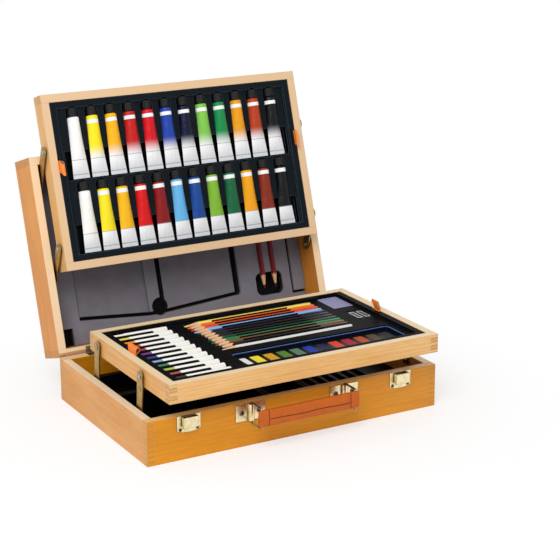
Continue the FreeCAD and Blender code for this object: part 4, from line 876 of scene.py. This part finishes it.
def lacquered_tube(name, fade, ring):
    """Printed lacquer on soft aluminium: white from the fold, the tube's own hue fading in between two
    heights, one white ring near the shoulder, a thin grey rule, a greyer flattened end that is partly painted
    shade, a painted shadow line at the fold, and dents."""
    material, tree = started(name, Roughness=0.34, IOR=1.5, Specular_IOR_Level=0.2)
    place = add(tree, "TexCoord", out=None)
    height = add(tree, "SeparateXYZ", [place["UV"]], out=1)
    hue = add(tree, "Attribute", out="Color", attribute_name="paint")
    tinted = add(tree, "MapRange", [height, *fade], interpolation_type="SMOOTHSTEP")
    printed = add(tree, "Mix", {0: tinted, 6: "#E9E9EA", 7: hue}, **tint)
    ringed = banded(tree, printed, "#F2F2F0", height, middle=sum(ring) / 2, half=(ring[1] - ring[0]) / 2)
    ruled = banded(tree, ringed, "#6A6C70", height, middle=0.30, half=0.006, share=0.55)
    # the flattened end is greyer: partly bare metal, partly painted shade on the flattened wedge; the dark
    # line where the fold is rolled over is a painted shadow
    flattened = add(tree, "MapRange", [height, 0.24, 0.06, 0, 0.75])
    bare_end_and_shade = add(tree, "Mix", {0: flattened, 6: ruled, 7: "#C3C5C9"}, **tint)
    fold_shadowed = banded(tree, bare_end_and_shade, "#75777B", height, middle=0.066, half=0.007, share=0.55)
    # soft dents about 9 mm across, and creases along the tube that fade out towards its middle
    dent = add(tree, "TexNoise", {"Vector": place["Object"], "Scale": 110.0, "Detail": 2.0})
    drawn = add(tree, "Mapping", {"Vector": place["UV"], "Scale": (16, 3, 1)})
    crease = add(tree, "TexNoise", {"Vector": drawn, "Scale": 1.0, "Detail": 3.0})
    creased = add(tree, "MapRange", [height, 0.5, 0.08, 0, 0.9])
    dented = add(tree, "Math", [crease, creased, dent], operation="MULTIPLY_ADD")
    bump = add(tree, "Bump", {"Strength": 0.4, "Distance": 0.0025, "Height": dented})
    return wired(material, Base_Color=fold_shadowed, Normal=bump)


tube, tube_map = soft_tube()
tube_count, tube_pitch = 12, 25
tube_xs = (np.arange(tube_count) - (tube_count - 1) / 2) * tube_pitch
row_starts, tube_z = (18.75, 109.75), 19.0
lower_hues = ("#F0EEE8", "#F2DC22", "#EDB41C", "#D01416", "#861416", "#64B0E2",
              "#16448E", "#7EB234", "#12603A", "#EEA212", "#822C18", "#070708")
upper_hues = ("#F0EEEA", "#F3DE24", "#F2B01C", "#BC1C18", "#CC121C", "#2040A0",
              "#060A2E", "#7EC04E", "#14864A", "#E49A18", "#AE3C18", "#08080A")
solid = lacquered_tube("solid_lacquered_tube", fade=(0.29, 0.31), ring=(0.89, 0.955))
faded = lacquered_tube("faded_lacquered_tube", fade=(0.26, 0.52), ring=(0.865, 0.925))
rows = (("acrylic", row_starts[0], lower_hues, solid), ("watercolour", row_starts[1], upper_hues, faded))
for kind, start, hues, finish in rows:
    tubes = [tube + (x, start, tube_z) for x in tube_xs]
    dressed(skin(kind + "_soft_tubes", tubes, upper, tube_map, painted(hues)), finish, "upper_tray",
            kind + "_tubes", slot="tube_skin")

# Caps of the tubes: small black polypropylene caps, moulded with grip ribs.
# They are screwed on the necks and rubbed in patches.


def ribbed_cap():
    """Along Y from the shoulder: a tapering drum whose radius ripples eighteen times round it, with rolled
    edges. The rows give the way along, the radius and the share of the ribs' depth."""
    profile = [(76, 0, 0), (76, 6.2, 0), (76.3, 6.5, 0), (77, 6.55, 0), (78, 6.5, 1), (85.6, 5.4, 1),
               (86.5, 5.15, 1), (86.9, 4.9, 0.4), (87, 4.4, 0), (86.7, 4.0, 0), (86.7, 0, 0)]
    rib_count, rib_half = 18, 0.22
    along, radius, ribs = np.array(profile).T[:, :, None]
    angle = np.linspace(0, 2 * math.pi, 6 * rib_count + 1)
    radius = radius - rib_half * ribs * (1 + np.cos(rib_count * angle))
    return grid(radius * np.cos(angle), along, radius * np.sin(angle))


def cap_plastic():
    """Black moulded plastic with rubbed patches about 3 mm across."""
    material, tree = started("moulded_black_polypropylene", IOR=1.49, Specular_IOR_Level=0.2)
    place = add(tree, "TexCoord", out="Object")
    rub = add(tree, "TexNoise", {"Vector": place, "Scale": 350.0, "Detail": 3.0})
    colour = add(tree, "Mix", {0: rub, 6: "#08080A", 7: "#121214"}, **tint)
    return wired(material, Base_Color=colour,
                 Roughness=add(tree, "MapRange", [rub, 0, 1, 0.35, 0.6]))


caps = [ribbed_cap() + (x, start, tube_z) for start in row_starts for x in tube_xs]
dressed(skin("ribbed_tube_caps", caps, upper), cap_plastic(), "upper_tray", "tube_caps", slot="cap_black")

# Stage: a pale floor, a broad soft lamp high on the left, a white room and the camera.
# The camera stands where the photograph was taken: 29.6 degrees to the left, looking 16.6 degrees down.


def background_rays(tree):
    """1 for rays that see the plain white background, straight, in gloss or through glass; 0 for the rest."""
    path = add(tree, "LightPath", out=None)
    seen = add(tree, "Math", [path["Is Camera Ray"], path["Is Glossy Ray"]], operation="MAXIMUM")
    return add(tree, "Math", [seen, path["Is Transmission Ray"]], operation="MAXIMUM")


def paper_sweep():
    """White paper, lit to plain white further out; close to the case it keeps part of the shadow."""
    material, tree = started("white_paper_sweep", Roughness=0.9, Specular_IOR_Level=0.0)
    place = add(tree, "TexCoord", out="Object")
    cloud = add(tree, "TexNoise", {"Vector": place, "Scale": 3.0})
    wired(material, Base_Color=add(tree, "Mix", {0: cloud, 6: "#FBFBFB", 7: "#FFFFFF"}, **tint))
    away = add(tree, "VectorMath", [place], out=1, operation="LENGTH")
    lit = add(tree, "MapRange", [away, 0.2, 0.42, 0.55], interpolation_type="SMOOTHSTEP")
    share = add(tree, "Math", [lit, background_rays(tree)], operation="MULTIPLY")
    paper, glow = tree.nodes["Principled BSDF"].outputs[0], add(tree, "Emission", {"Strength": 1.0})
    tree.links.new(add(tree, "MixShader", [share, paper, glow]),
                   tree.nodes["Material Output"].inputs["Surface"])
    return material


scene = bpy.context.scene
floor_half = 6
floor_mesh = bpy.data.meshes.new("floor")
floor_corners = [(x * floor_half, y * floor_half, 0) for x, y in ((-1, -1), (1, -1), (1, 1), (-1, 1))]
floor_mesh.from_pydata(floor_corners, [], [(0, 1, 2, 3)])
floor_mesh.materials.append(paper_sweep())
floor = bpy.data.objects.new("floor", floor_mesh)
scene.collection.objects.link(floor)

room = bpy.data.worlds.new("white_room")
room.use_nodes = True
scene.world = room
sky = room.node_tree.nodes["Background"]
sky.inputs["Color"].default_value = (1, 1, 1, 1)
room_light = 0.62
level = add(room.node_tree, "MapRange", [background_rays(room.node_tree), 0, 1, room_light])
room.node_tree.links.new(level, sky.inputs["Strength"])

lamp_data = bpy.data.lights.new("soft_lamp", "AREA")
lamp_data.shape = "DISK"
lamp_data.size = 1.6
lamp_data.energy = 42.0
lamp = bpy.data.objects.new("soft_lamp", lamp_data)
lamp.location = (-1.3, -1.5, 1.9)
lamp.rotation_euler = (math.radians(46), 0, math.radians(-41))
scene.collection.objects.link(lamp)

view_turn, view_drop, view_roll = -29.555, 16.561, -0.188
lens = bpy.data.cameras.new("camera")
lens.sensor_width = 36.0
lens.lens = 106.133
lens.clip_end = 50.0
camera = bpy.data.objects.new("camera", lens)
camera.location = (-0.8998, -1.6703, 0.71983)
camera.rotation_euler = (math.radians(90 - view_drop), 0, math.radians(view_turn))
camera.rotation_euler.rotate_axis("Z", math.radians(view_roll))
scene.collection.objects.link(camera)
scene.camera = camera
scene.view_settings.view_transform = "Standard"
